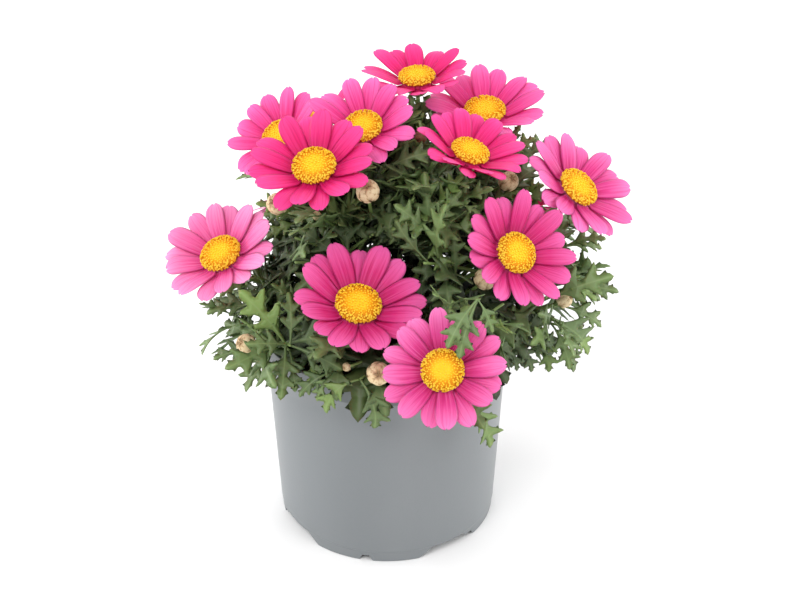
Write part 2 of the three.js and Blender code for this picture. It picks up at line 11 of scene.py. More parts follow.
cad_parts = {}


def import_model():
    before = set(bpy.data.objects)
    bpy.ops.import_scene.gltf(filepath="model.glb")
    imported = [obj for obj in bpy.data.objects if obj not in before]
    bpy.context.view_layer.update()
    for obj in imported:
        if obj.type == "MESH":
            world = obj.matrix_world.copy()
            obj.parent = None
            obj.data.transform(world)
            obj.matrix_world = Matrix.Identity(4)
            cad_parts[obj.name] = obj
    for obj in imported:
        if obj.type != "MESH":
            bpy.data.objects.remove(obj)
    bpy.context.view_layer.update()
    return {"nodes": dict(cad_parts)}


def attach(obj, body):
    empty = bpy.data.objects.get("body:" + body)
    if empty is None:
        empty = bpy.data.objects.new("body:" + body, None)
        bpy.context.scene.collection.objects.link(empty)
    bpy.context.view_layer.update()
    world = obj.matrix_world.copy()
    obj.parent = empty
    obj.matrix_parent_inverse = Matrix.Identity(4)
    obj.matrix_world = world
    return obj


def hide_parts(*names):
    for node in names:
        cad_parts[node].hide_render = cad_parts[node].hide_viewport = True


MM = 0.001
UP = np.array([0.0, 0.0, 1.0])
GOLDEN_TURN = math.radians(137.5)

# Sizes that the solids have too: lengths in millimetres, the rest as shares
POT_HEIGHT = 105
RIM_RADIUS = 60
BAND_HEIGHT = 9
BAND_STEP = 1.1
FOOT_RADIUS = 54.4
WALL = 1.6
FOOT_LINE_HEIGHT = 6
FOOT_LINE_STEP = 0.3
FLOOR_HEIGHT = 7
PAD_RADIUS = 15
PAD_SLOPE = 1.2
DRAIN_COUNT = 6
DRAIN_RADIUS = 4
DRAIN_CIRCLE = 30
ARCH = {"count": 6, "first": -101.5, "width": 6.5, "top": 3.5, "height": 3}
RECESS = {"count": 4, "first": -56.5, "width": 32, "top": 18, "height": 5}
CLEARANCE = 0.3
SOIL_HEIGHT = 92
SOIL_RELIEF = 1.1
STEM_RADIUS = 1.3
STALK_RADIUS = 0.9
STALK_DIP = 0.15
FOOT_SPREAD = 0.3
RISE_SHARE = 0.5
NECK_SHARE = 0.3
DISC_CENTRE = 5
DISC_SHARE = 0.172
DISC_HEIGHT = 3.6
HUB_SHARE = 1.1
PETAL_THICKNESS = 0.75
PETAL_REACH = (0.92, 1.03)
PETAL_HALF_WIDTH = (0.145, 0.175)
PETAL_STRAY = 0.14
PETAL_WIDEST_AT = 0.62
PETAL_CURL = 0.35
LAYER_GAP = 0.6
LOWER_LAYER = CLEARANCE + PETAL_THICKNESS / 2
UPPER_LAYER = LOWER_LAYER + PETAL_THICKNESS + LAYER_GAP
DISC_BASE = UPPER_LAYER + PETAL_THICKNESS / 2 + CLEARANCE
CUP_DEPTH = 6.5
BUD_FOOT_SHARE = 0.86
LEAF_CUP = 0.25
LONGEST_LEAF = 46
SHORTEST_LEAF = 32
LOWEST_LEAF = 0.13
HIGHEST_ON_STEM = 0.86
HIGHEST_ON_SHOOT = 0.92
LEAF_UPRIGHT = 0.4
LEAF_TRIES = 14

# Each bloom: name, middle of its disc, width, azimuth and elevation of its facing, turn, petals,
# rise of their tips, tone
BLOOMS = [
    ("top", (14.7, 37, 216.8), 50, -110, 81, 5, 14, 7.5, "hot"),
    ("top_right", (46.7, 33, 201.3), 56.5, -96, 73, 7, 16, 8.5, "orchid"),
    ("upper_right", (37.8, -13, 201), 50.5, -38, 70, 8, 16, 8.5, "hot"),
    ("far_right", (90.1, 6, 173.7), 58, -35, 52, 12, 16, 6, "soft"),
    ("right", (58.1, -36, 161.7), 54.5, -57, 41, 18, 16, 8, "deep"),
    ("low_front", (23.2, -89.5, 134.9), 53, -93, 41, 7, 16, 7, "soft"),
    ("middle_front", (-12.1, -54.5, 147.4), 59, -72, 64, 8, 16, 9.5, "deep"),
    ("far_left", (-76.5, -14, 150.7), 56.5, -128, 60, 1, 16, 8, "pale"),
    ("upper_left", (-31.2, -27, 200.7), 56, -102, 62, 0, 16, 9, "hot"),
    ("top_middle", (-10.3, 1.5, 206.8), 50.5, -106, 61, 18, 14, 8.5, "orchid"),
    ("top_left", (-49.9, 15, 196), 49, -132, 50, 8, 14, 6, "rosy"),
    ("peeking", (-33, 46, 194), 44, 150, 62, 0, 14, 7, "hot"),
    ("back_left", (-46, 62, 143), 50, 138, 50, 10, 14, 7, "orchid"),
    ("back_middle", (10, 80, 139), 53, 88, 45, 3, 16, 7, "deep"),
    ("back_right", (69, 58, 143), 51, 40, 50, 0, 14, 6.5, "hot"),
]
# Each leafy shoot without a bloom: name, end, azimuth and elevation of its end
SHOOTS = [
    ("left_shoot", (-61, -40, 116), -140, 35),
    ("right_shoot", (80, -15, 123), -12, 40),
]
# Each bud on a side stalk: name, middle, width, its stem, and how far up the stem its stalk springs
SIDE_BUDS = [
    ("upper", (-8, -24, 186), 10, "top_middle", 0.45),
    ("left_upper", (-49, -12, 174), 9.5, "top_left", 0.62),
    ("front_low", (-3.7, -68, 119), 10, "middle_front", 0.3),
    ("right_middle", (44.4, -31, 145.2), 9.5, "right", 0.35),
    ("right_upper", (56.5, 4, 177), 9, "top_right", 0.6),
    ("back", (-18, 68, 152), 9, "peeking", 0.45),
]
# Each bud at the end of a shoot: name, width, shoot
END_BUDS = [("left_low", 9, "left_shoot"), ("right_low", 8, "right_shoot")]
# Each leaf placed one by one: its stem, how far up the stem it springs, its tip, and how far it arches
AIMED_LEAVES = [
    ("middle_front", 0.15, (-13, -71, 95), 100),
    ("right", 0.16, (50, -50, 92), 110),
]

# Single leaves that stand out of the mass: where they spring from, their tips, and how far they arch
SPRIGS = [
    ((38, -76, 161), [(25, -91, 146), (30, -91, 141), (44, -85, 150)], 40),
    ((-12, -62, 112), [(-27, -68, 98), (-6, -70, 91)], 95),
    ((36, -60, 101), [(47, -62, 74)], 30),
    ((-23, -57, 113), [(-39, -64, 104), (-31, -66, 103)], 60),
    ((-44, -44, 116), [(-48, -55, 106), (-41, -60, 104)], 80),
    ((-34, -50, 113), [(-33, -62, 107)], 80),
    ((-60, -34, 111), [(-80, -36, 106)], 25),
    ((-58, -24, 126), [(-83, -25, 124), (-73, -14, 113)], 50),
    ((-60, -12, 136), [(-77, -20, 130), (-80, -8, 138)], 45),
    ((-38, 2, 158), [(-60, -2, 169), (-58, 8, 158), (-56, 0, 150)], 35),
    ((80, -4, 123), [(111, -2, 121), (104, 6, 112)], 35),
    ((82, -6, 116), [(103, -8, 105), (98, 10, 102)], 45),
    ((78, -12, 110), [(97, -12, 92), (86, -28, 94)], 60),
    ((72, -16, 108), [(90, -15, 84), (76, -30, 94)], 65),
    ((58, -30, 112), [(77, -25, 91), (67, -36, 98)], 70),
    ((52, -34, 114), [(60, -38, 100), (52, -44, 103)], 60),
    ((84, 8, 140), [(104, 5, 146), (104, 14, 136)], 40),
    ((80, 12, 146), [(98, 18, 150), (92, 26, 142)], 40),
    ((48, 22, 176), [(63, 30, 189), (66, 18, 180)], 30),
    ((56, 28, 175), [(64, 32, 193), (71, 30, 187)], 30),
    ((58, 26, 170), [(80, 38, 182), (70, 44, 172)], 35),
    ((46, 4, 164), [(62, 2, 172), (56, -10, 160)], 45),
    ((14, 32, 183), [(5, 32, 203), (11, 36, 207), (21, 38, 206), (29, 34, 200)], 25),
    ((13, 26, 180), [(8, 20, 200), (18, 26, 202), (26, 22, 196), (2, 22, 194)], 25),
    ((18, 20, 178), [(20, 18, 198), (12, 10, 190), (28, 10, 190)], 30),
    ((58, 30, 152), [(76, 26, 164), (68, 22, 158), (60, 18, 163)], 40),
    ((58, 14, 156), [(77, 10, 168), (72, 16, 160), (66, 6, 166)], 35),
]

# Buds no wider than a pea: middle, width, and whether they are still red
SMALL_BUDS = [
    ((26, -25, 159), 5, True),
    ((-31, -20, 172), 4, False),
    ((-18, -58, 116), 3.8, False),
    ((16, 5, 199), 5.5, True),
    ((78, 2, 158), 5.5, False),
    ((-70, 20, 150), 4.5, False),
    ((30, 58, 168), 5, True),
]

# Petal tones: body, tip and root as sRGB colours, how white the root is, and a slot name
PETAL_TONES = {
    "hot": ((0.88, 0.13, 0.46), (0.94, 0.30, 0.60), (0.80, 0.06, 0.36), 0.10, "petal_hot"),
    "rosy": ((0.90, 0.24, 0.55), (0.96, 0.44, 0.71), (0.84, 0.12, 0.43), 0.10, "petal_hot"),
    "deep": ((0.81, 0.16, 0.46), (0.91, 0.41, 0.67), (0.73, 0.09, 0.37), 0.30, "petal_deep"),
    "soft": ((0.83, 0.24, 0.53), (0.94, 0.49, 0.73), (0.75, 0.12, 0.41), 0.40, "petal_deep"),
    "orchid": ((0.90, 0.26, 0.57), (0.96, 0.46, 0.73), (0.85, 0.14, 0.46), 0.15, "petal_orchid"),
    "pale": ((0.91, 0.39, 0.63), (0.96, 0.61, 0.79), (0.85, 0.22, 0.51), 0.40, "petal_pale"),
}

# Materials of a leafy piece, in their order on its mesh
LEAF_SLOT = 0
STEM_SLOT = 1
BRACT_SLOT = 2
# Materials of the piece with the smallest buds
CREAM_SLOT = 0
RED_SLOT = 1
SMALL_STALK_SLOT = 2


def draw(thing, part, what):
    """A draw between 0 and 1, the same each time: what tells apart the draws for one part of a thing."""
    value = math.sin(thing * 12.9898 + part * 78.233 + what * 37.719) * 43758.5453
    return value - math.floor(value)


def mix(low, high, share):
    return low + (high - low) * share


def clamp(value):
    """The value, held between 0 and 1."""
    return min(1.0, max(0.0, value))


def unit(vector):
    return vector / np.linalg.norm(vector)


def level_way(turn):
    """A level direction, from its angle in radians."""
    return np.array([math.cos(turn), math.sin(turn), 0.0])


def square_to(way, other):
    """What is left of a direction across another one."""
    return unit(way - np.dot(way, other) * other)


def direction(azimuth, elevation):
    """A direction, from angles in degrees."""
    slope = math.radians(elevation)
    return math.cos(slope) * level_way(math.radians(azimuth)) + math.sin(slope) * UP


def facing_axes(facing):
    """Rows are the level axis, the upward axis and the facing itself."""
    across = unit(np.cross(UP, facing))
    return np.array([across, np.cross(facing, across), facing])


def turned_axes(axes, turn):
    """The same axes, turned round the last of them."""
    cos, sin = math.cos(turn), math.sin(turn)
    return np.array([cos * axes[0] + sin * axes[1], -sin * axes[0] + cos * axes[1], axes[2]])


class Batch:
    """One mesh put together from many small bodies. Points are in millimetres.

    coords are two numbers a point that a material reads as UV, pick is one random number a body,
    the number beside it is painted shade, more for a leaf deeper inside the mound, and slot is the
    material of its faces. A body without coords has a material that reads none.
    """

    def __init__(self):
        self.points = []
        self.faces = []
        self.coords = []
        self.picks = []
        self.slots = []
        self.count = 0

    def add(self, points, faces, coords=None, pick=0.5, slot=0, inner_shade=0.0):
        points = np.asarray(points, float)
        faces = np.asarray(faces, int)
        if coords is None:
            coords = np.zeros((len(points), 2))
        self.points.append(points)
        self.faces.append(faces + self.count)
        self.coords.append(np.asarray(coords, float))
        self.picks.append(np.tile([pick, inner_shade], (len(points), 1)))
        self.slots.append(np.full(len(faces), slot))
        self.count += len(points)

    def make(self, name, materials, sharp_degrees=None):
        """The batch as an object of the scene."""
        points = np.concatenate(self.points) * MM
        faces = np.concatenate(self.faces)
        coords = np.concatenate(self.coords)
        picks = np.concatenate(self.picks)
        mesh = bpy.data.meshes.new(name)
        mesh.from_pydata(points.tolist(), [], faces.tolist())
        corners = np.zeros(len(mesh.loops), int)
        mesh.loops.foreach_get("vertex_index", corners)
        mesh.uv_layers.new(name="along").data.foreach_set("uv", coords[corners].ravel())
        mesh.uv_layers.new(name="pick").data.foreach_set("uv", picks[corners].ravel())
        for material in materials:
            mesh.materials.append(material)
        mesh.polygons.foreach_set("material_index", np.concatenate(self.slots))
        mesh.shade_smooth()
        if sharp_degrees:
            mesh.set_sharp_from_angle(angle=math.radians(sharp_degrees))
        mesh.update()
        piece = bpy.data.objects.new(name, mesh)
        bpy.context.scene.collection.objects.link(piece)
        return piece


def grid_faces(rows, columns, wrap=False):
    """Triangles over a grid of points, row by row; wrap joins the last column to the first."""
    faces = []
    for row in range(rows - 1):
        for column in range(columns if wrap else columns - 1):
            a = row * columns + column
            b = row * columns + (column + 1) % columns
            faces.append((a, b, b + columns))
            faces.append((a, b + columns, a + columns))
    return faces


def revolved(profile, segments):
    """Points, faces and coords of a profile of (radius, height) turned round Z."""
    angles = np.arange(segments) * 2 * math.pi / segments
    points = []
    coords = []
    for number, (radius, height) in enumerate(profile):
        for angle in angles:
            points.append((radius * math.cos(angle), radius * math.sin(angle), height))
            coords.append((angle / (2 * math.pi), number / (len(profile) - 1)))
    return np.array(points), grid_faces(len(profile), segments, wrap=True), coords


def tube(path, radii, sides, ribs=0.0):
    """A closed tube through points, with a radius at each; ribs lifts every second side by that share."""
    path = np.asarray(path, float)
    ways = np.gradient(path, axis=0)
    points = []
    coords = []
    normal = unit(np.cross(ways[0], [0.31, 0.93, 0.17]))
    for number, (centre, way, radius) in enumerate(zip(path, ways, radii)):
        way = unit(way)
        normal = square_to(normal, way)
        other = np.cross(way, normal)
        for side in range(sides):
            angle = side / sides * 2 * math.pi
            reach = radius * (1 + (ribs if side % 2 else -ribs))
            points.append(centre + reach * (math.cos(angle) * normal + math.sin(angle) * other))
            coords.append((side / sides, number / (len(path) - 1)))
    faces = grid_faces(len(path), sides, wrap=True)
    first, last = len(points), len(points) + 1
    points.extend([path[0], path[-1]])
    coords.extend([(0.5, 0.0), (0.5, 1.0)])
    top = (len(path) - 1) * sides
    for side in range(sides):
        after = (side + 1) % sides
        faces.append((first, after, side))
        faces.append((last, top + side, top + after))
    return points, faces, coords


def two_faced(top, low, faces, coords, on_edge):
    """Points, faces and coords of a thin body: a face above and a face below that share their edge."""
    inside = np.flatnonzero(~on_edge)
    below = np.arange(len(top))
    below[inside] = len(top) + np.arange(len(inside))
    points = np.concatenate([top, low[inside]])
    both = np.concatenate([faces, below[faces][:, ::-1]])
    return points, both, np.concatenate([coords, coords[inside]])


class Bend:
    """A cubic curve from its four points."""

    def __init__(self, points):
        self.points = [np.asarray(point, float) for point in points]

    def at(self, share):
        """The point at a share of the curve."""
        a, b, c, d = self.points
        rest = 1 - share
        return rest**3 * a + 3 * rest**2 * share * b + 3 * rest * share**2 * c + share**3 * d

    def way(self, share):
        """The direction at a share of the curve."""
        a, b, c, d = self.points
        rest = 1 - share
        return unit(3 * rest**2 * (b - a) + 6 * rest * share * (c - b) + 3 * share**2 * (d - c))

    def samples(self, count):
        """Points from one end of the curve to the other."""
        return [self.at(number / (count - 1)) for number in range(count)]


def stem_bend(end, facing):
    """The curve of a stem: up out of the compost, and into the back of its bloom."""
    foot = np.array([end[0] * FOOT_SPREAD, end[1] * FOOT_SPREAD, SOIL_HEIGHT])
    reach = np.linalg.norm(end - foot)
    return Bend([foot, foot + UP * reach * RISE_SHARE, end - facing * reach * NECK_SHARE, end])


# Leaves

# One half of a leaf's outline, from its stalk to its tip: shares of its length, along and across
LEAF_HALF = [
    (0.00, 0.022), (0.12, 0.020), (0.24, 0.026), (0.33, 0.040),
    (0.39, 0.085), (0.445, 0.145), (0.452, 0.188), (0.495, 0.186), (0.535, 0.222), (0.575, 0.240),
    (0.580, 0.195), (0.565, 0.130), (0.550, 0.085), (0.550, 0.062), (0.600, 0.058),
    (0.650, 0.088), (0.690, 0.130), (0.695, 0.168), (0.735, 0.165), (0.765, 0.196), (0.805, 0.215),
    (0.810, 0.170), (0.798, 0.115), (0.790, 0.072), (0.830, 0.060),
    (0.868, 0.078), (0.905, 0.100), (0.915, 0.062), (0.955, 0.042),
]
# Points of the stalk and of each lobe, and how far they differ from leaf to leaf
STALK_POINTS = 4
LOBE_POINTS = 7
OUTLINE_WOBBLE = 0.016
LOBE_SHIFT = 0.03
LEAF_VARIANTS = 6


def leaf_edge(variant):
    """The outline of a leaf of length 1, a little different for each variant and on its two sides."""
    half = []
    for number, (along, across) in enumerate(LEAF_HALF):
        wobble = OUTLINE_WOBBLE if number >= STALK_POINTS else 0.0
        half.append((
            along + wobble * (draw(variant, number, 31) - 0.5),
            across * (1 + 8 * wobble * (draw(variant, number // LOBE_POINTS, 32) - 0.5)),
        ))
    upper = []
    for number, (along, across) in enumerate(half):
        shift = LOBE_SHIFT * (draw(variant, number // LOBE_POINTS, 33) - 0.5)
        upper.append((along + shift * min(1, number / STALK_POINTS), across))
    return [(along, -across) for along, across in half] + [(1.0, 0.0)] + upper[::-1]


def leaf_template(variant):
    """A flat leaf of length 1: points, faces, and for each point whether it is on the edge."""
    edge = leaf_edge(variant)
    # Points along the rib, and out into the side lobes
    inner = [(along, 0.0) for along in np.arange(0.04, 0.97, 0.06)]
    for side in (-1, 1):
        inner.extend((0.40 + 0.055 * step, side * (0.055 + 0.052 * step)) for step in range(4))
        inner.extend((0.66 + 0.045 * step, side * (0.05 + 0.045 * step)) for step in range(4))
    count = len(edge)
    links = [(i, (i + 1) % count) for i in range(count)]
    vectors = [Vector(point) for point in edge + inner]
    flat, _, faces, sources, _, _ = delaunay_2d_cdt(vectors, links, [list(range(count))], 1, 1e-5)
    on_edge = np.array([any(source < count for source in origin) for origin in sources])
    return np.array([tuple(point) for point in flat]), np.array([list(face) for face in faces]), on_edge


class Leaf:
    """Where a leaf springs from, the way it grows out, the way of its stem, and how it bends."""

    def __init__(self, root, out, stemwise, rise, droop, length, roll=0.0):
        self.root = root
        self.out = out
        self.stemwise = stemwise
        self.rise = rise
        self.droop = droop
        self.length = length
        self.roll = roll

    def points(self, along, side, lift):
        """Points at shares of the leaf's length along and across it, lifted in millimetres."""
        angle = self.rise - self.droop * along
        forward = self.length / self.droop * (math.sin(self.rise) - np.sin(angle))
        upward = self.length / self.droop * (np.cos(angle) - math.cos(self.rise))
        across = np.cross(self.stemwise, self.out)
        breadth = side * self.length
        swing = breadth * math.sin(self.roll)
        lift = lift + LEAF_CUP * np.abs(breadth) + swing
        forward = forward - np.sin(angle) * lift
        upward = upward + np.cos(angle) * lift
        return (self.root + np.outer(forward, self.out) + np.outer(upward, self.stemwise)
                + np.outer(breadth * math.cos(self.roll), across))

    def probe(self):
        """Eight points of the blade, its rib and its widest lobes, for tests of clearance."""
        along = np.array([0.3, 0.55, 0.57, 0.57, 0.8, 0.8, 0.8, 1.0])
        side = np.array([0.0, 0.0, -0.235, 0.235, 0.0, -0.21, 0.21, 0.0])
        return self.points(along, side, np.zeros(8))


def leaf_inner_shade(leaf):
    """Painted shade of a leaf: 0 at the outside of the mound, 1 deep inside it, where the others shade it."""
    middle = leaf.points(np.array([0.6]), np.array([0.0]), np.array([0.0]))[0]
    reach = min(np.linalg.norm((middle - centre) / size) for _, centre, size, _ in DOMES)
    return clamp((UNSHADED_REACH - reach) / (UNSHADED_REACH - SHADED_REACH))


# Half the thickness of a leaf in millimetres, and its waves and groove as shares of its length.
# The waves turn through this many radians from its stalk to its tip.
BLADE_HALF_THICKNESS = 0.28
WAVE_HEIGHT = 0.108
VEIN_DEPTH = 0.010
VEIN_WIDTH = 0.02
WAVES_ALONG = (7, 12)


def add_leaf(batch, leaf, template, number):
    """A leaf as two waved faces that meet in a thin edge, with a groove for its middle vein."""
    flat, faces, on_edge = template
    along, side = flat[:, 0], flat[:, 1]
    pick = draw(number, 3, 41)
    waving = np.sin(along * mix(*WAVES_ALONG, draw(number, 1, 42)) + pick * 6)
    waves = WAVE_HEIGHT * leaf.length * side * waving
    vein = VEIN_DEPTH * leaf.length * np.exp(-(side / VEIN_WIDTH) ** 2) * (1 - along)
    half = np.where(on_edge, 0.0, BLADE_HALF_THICKNESS)
    top = leaf.points(along, side, waves - vein + half)
    low = leaf.points(along, side, waves - vein - half)
    coords = np.stack([side / 0.5 + 0.5, along], axis=1)
    # The last number is the leaf's painted shade: darker the deeper it lies inside the mound
    batch.add(*two_faced(top, low, faces, coords, on_edge), pick, LEAF_SLOT, leaf_inner_shade(leaf))


def springing(bend, share, upright, turn):
    """Where a leaf springs from a stem: the place, the way out of the stem, and the way along it."""
    stemwise = unit(mix(bend.way(share), UP, upright))
    return bend.at(share), square_to(level_way(turn), stemwise), stemwise


def ruled_leaf(bend, stem_number, leaf_number, highest):
    """A leaf of a stem by the rule that the solids follow too: a spiral up the stem."""
    share = mix(LOWEST_LEAF, highest, (leaf_number + draw(stem_number, leaf_number, 5)) / LEAF_TRIES)
    turn = GOLDEN_TURN * leaf_number + 2 * math.pi * draw(stem_number, 0, 6)
    return Leaf(
        *springing(bend, share, LEAF_UPRIGHT, turn),
        math.radians(mix(28, 58, draw(stem_number, leaf_number, 7))),
        math.radians(mix(25, 65, draw(stem_number, leaf_number, 8))),
        mix(LONGEST_LEAF, SHORTEST_LEAF, share) * mix(0.85, 1.15, draw(stem_number, leaf_number, 9)),
    )


def aimed_leaf(root, tip, droop, roll=0.0):
    """A leaf from its root to its tip; roll turns the blade of a leaf that grows sideways to the front."""
    chord = np.array(tip, float) - root
    level = np.array([chord[0], chord[1], 0.0])
    arc = math.radians(droop)
    slope = math.atan2(chord[2], np.linalg.norm(level))
    length = np.linalg.norm(chord) * arc / 2 / math.sin(arc / 2)
    out = unit(level)
    return Leaf(root, out, UP, slope + arc / 2, arc, length, math.radians(roll) * out[0])


# How low a leaf may hang beyond the rim, and the room it leaves to everything else
LOWEST_REACH = 95
SOIL_ROOM = 2
ROOM_BEYOND_RIM = 1.5
ROOM_OVER_RIM = 1
ROOM_INSIDE_WALL = 3
BUD_ROOM = 5
ROOM_BELOW_BLOOM = 4
ROOM_BEFORE_BLOOM = 22
ROOM_BESIDE_BLOOM = 1


class Crowd:
    """What a new leaf has to stay clear of: the blooms, the buds, and the pot with its soil."""

    def __init__(self, blooms, buds):
        self.blooms = blooms
        self.buds = buds

    def clear(self, points):
        """Whether a leaf or shoot through these points touches none of it."""
        radius = np.hypot(points[:, 0], points[:, 1])
        height = points[:, 2]
        in_soil = (radius < RIM_RADIUS - SOIL_ROOM) & (height < SOIL_HEIGHT + SOIL_ROOM)
        at_wall = (radius > FOOT_RADIUS - ROOM_INSIDE_WALL) & (radius < RIM_RADIUS + ROOM_BEYOND_RIM)
        in_wall = at_wall & (height < POT_HEIGHT + ROOM_OVER_RIM)
        hangs_low = (radius > RIM_RADIUS) & (height < LOWEST_REACH)
        if in_soil.any() or in_wall.any() or hangs_low.any():
            return False
        for middle, width in self.buds:
            if np.linalg.norm(points - middle, axis=1).min() < width / 2 + BUD_ROOM:
                return False
        for bloom in self.blooms:
            local = (points - bloom.origin) @ bloom.axes.T
            reach = np.hypot(local[:, 0], local[:, 1])
            before = (local[:, 2] > -ROOM_BELOW_BLOOM) & (local[:, 2] < ROOM_BEFORE_BLOOM)
            if (before & (reach < bloom.across / 2 + ROOM_BESIDE_BLOOM)).any():
                return False
        return True


# Blooms

class Bloom:
    """One bloom. Its axes have their origin on top of its stem, and the last of them is its facing."""

    def __init__(self, number, name, at, across, azimuth, elevation, turn, petals, rise, tone):
        self.number = number
        self.name = name
        self.across = across
        self.facing = direction(azimuth, elevation)
        self.origin = np.array(at, float) - self.facing * DISC_CENTRE
        self.axes = turned_axes(facing_axes(self.facing), math.radians(turn))
        self.petals = petals
        self.rise = rise
        self.tone = tone
        self.disc_radius = across * DISC_SHARE

    def world(self, local):
        """Points given along the axes of the bloom, as points of the scene."""
        return self.origin + np.asarray(local, float) @ self.axes


# Points along and across a petal, its shape as shares, and its depth in millimetres
PETAL_ROWS = 16
PETAL_COLUMNS = 9
PETAL_ROOT = 0.72
PETAL_ROOT_WIDTH = 0.56
PETAL_SPREAD = 1.08
PETAL_DEPTH = 0.3
HUB_STEPS = 24


def petal_width(share):
    """Half width of a petal as a share of its widest, from its root (0) to its tip (1)."""
    if share < PETAL_WIDEST_AT:
        return mix(PETAL_ROOT_WIDTH, 1.0, math.sin(share / PETAL_WIDEST_AT * math.pi / 2) ** 1.1)
    rest = (share - PETAL_WIDEST_AT) / (1 - PETAL_WIDEST_AT)
    return max(0.0, 1 - rest**2.6) ** 0.55


class Petal:
    """One ray petal of a bloom: its place in the two layers, its size, and how it strays from the rule.

    stray lifts its tip, hang bends the tip down, sway moves it sideways and roll twists the blade.
    """

    def __init__(self, bloom, number):
        def chance(what):
            return draw(bloom.number, number, what)

        self.bloom = bloom
        self.upper = number % 2 == 0
        self.level = UPPER_LAYER if self.upper else LOWER_LAYER
        step = 2 * math.pi / bloom.petals
        self.angle = step * number + 2 * step * PETAL_STRAY * (chance(1) - 0.5)
        self.hub = bloom.disc_radius * HUB_SHARE
        self.root = bloom.disc_radius * PETAL_ROOT
        self.reach = bloom.across / 2 * mix(*PETAL_REACH, chance(2))
        self.half = bloom.across / 2 * mix(*PETAL_HALF_WIDTH, chance(3)) * PETAL_SPREAD
        self.stray = mix(-1.0, 1.8, chance(11)) if self.upper else mix(-2.4, 0.6, chance(11))
        self.roll = mix(-0.28, 0.28, chance(12))
        self.sway = mix(-1.5, 1.5, chance(13))
        self.hang = mix(0.3, 2.4, chance(16) ** 1.5)
        self.notches = 2 if chance(14) < 0.7 else 3
        self.pick = chance(15)

    def point(self, share, side):
        """A point of its upper face, at shares of its length and (from -1 to 1) of its width."""
        bloom = self.bloom
        radius = mix(self.root, self.reach, share)
        rise_share = max(0.0, (radius - self.hub) / (bloom.across / 2 - self.hub))
        width = max(self.half * petal_width(share), self.half * 0.2)
        notch = 0.5 - 0.5 * math.cos((side + 1) * math.pi * self.notches)
        cut = 0.9 * (1 - notch) * max(0.0, share - 0.88) / 0.12 * (1 - abs(side)) ** 0.4
        groove = 0.12 * math.cos(side * 2.5 * math.pi) * min(1, 3 * share) * (1.1 - share)
        fold = -0.30 * side**2 * math.sin(share * math.pi)
        lift = bloom.rise * rise_share * (1 + PETAL_CURL * (1 - rise_share))
        lift += self.stray * rise_share**1.5 - self.hang * max(0.0, share - 0.6) ** 2 / 0.16
        y = side * width + self.sway * share**2
        return radius - cut, y, self.level + lift + self.roll * y * rise_share + groove + fold


def add_petal(batch, petal):
    """A petal as two faces that meet in a thin edge."""
    shares = [1 - (1 - row / (PETAL_ROWS - 1)) ** 1.35 for row in range(PETAL_ROWS)]
    sides = np.linspace(-1, 1, PETAL_COLUMNS)
    top = np.array([petal.point(share, side) for share in shares for side in sides])
    coords = np.array([(side / 2 + 0.5, share) for share in shares for side in sides])
    row_of, column_of = np.divmod(np.arange(len(top)), PETAL_COLUMNS)
    on_edge = np.isin(row_of, (0, PETAL_ROWS - 1)) | np.isin(column_of, (0, PETAL_COLUMNS - 1))
    faces = np.array(grid_faces(PETAL_ROWS, PETAL_COLUMNS))
    points, faces, coords = two_faced(top, top - UP * PETAL_DEPTH, faces, coords, on_edge)
    cos, sin = math.cos(petal.angle), math.sin(petal.angle)
    turn = np.array([[cos, sin, 0], [-sin, cos, 0], [0, 0, 1]])
    batch.add(petal.bloom.world(points @ turn), faces, coords, petal.pick)


def petals_piece(bloom, material):
    """Both layers of petals, and the plate in the middle that joins them."""
    batch = Batch()
    for number in range(bloom.petals):
        add_petal(batch, Petal(bloom, number))
    seat = bloom.disc_radius * 0.86
    low = LOWER_LAYER - PETAL_DEPTH
    high = UPPER_LAYER + 0.2
    plate = [(0.01, low), (seat, low), (seat, high), (0.01, high)]
    points, faces, coords = revolved(plate, HUB_STEPS)
    batch.add(bloom.world(points), faces, np.array(coords) * [1, 0])
    return batch.make(f"rays_{bloom.name}", [material])


def disc_surface(bloom, share):
    """Radius and height on the dome at a share of the way from its middle to its edge."""
    radius = bloom.disc_radius * 0.97 * math.sin(share * math.pi / 2) ** 0.92
    dimple = 0.7 * math.exp(-(share / 0.2) ** 2)
    dome = (DISC_HEIGHT - 0.9) * math.cos(share * math.pi / 2) ** 0.7
    return radius, DISC_BASE + 0.5 + dome - dimple


FLORETS = 360
OPEN_FROM = 0.5
CORE_STEPS = 30
# Rings of radius and height for a floret of size 1, and the height and painted shade of its middle
OPEN_FLORET = {"rings": [(0.55, -0.9), (0.62, 0.3), (1.05, 1.1), (0.42, 0.6)], "sides": 10,
               "middle": 0.5, "shade": 0.5}
CLOSED_FLORET = {"rings": [(0.70, -0.9), (0.86, 0.0), (0.66, 0.6)], "sides": 6,
                 "middle": 0.85, "shade": 1.0}
LOBED_RING = 2


def add_floret(batch, bloom, place, normal, size, openness, pick):
    """One tiny flower: a closed knob near the middle, a five-lobed cup near the edge."""
    axes = facing_axes(normal) if abs(normal[2]) < 0.999 else np.eye(3)
    is_open = openness > 0.25
    form = OPEN_FLORET if is_open else CLOSED_FLORET
    rings, sides = form["rings"], form["sides"]
    points = []
    coords = []
    for number, (reach, height) in enumerate(rings):
        for side in range(sides):
            angle = side / sides * 2 * math.pi + pick * 6
            lobe = (1.2 if side % 2 else 0.7) if is_open and number == LOBED_RING else 1.0
            across = size * reach * lobe
            points.append((across * math.cos(angle), across * math.sin(angle), size * height))
            # The second coord is painted shade: darkest at the foot of the floret, lighter towards its top
            coords.append((openness, number / 3))
    faces = grid_faces(len(rings), sides, wrap=True)
    points.append((0, 0, size * form["middle"]))
    coords.append((openness, form["shade"]))
    last = (len(rings) - 1) * sides
    faces.extend((last + side, last + (side + 1) % sides, len(points) - 1) for side in range(sides))
    batch.add(bloom.world(place + np.array(points) @ axes), faces, coords, pick)


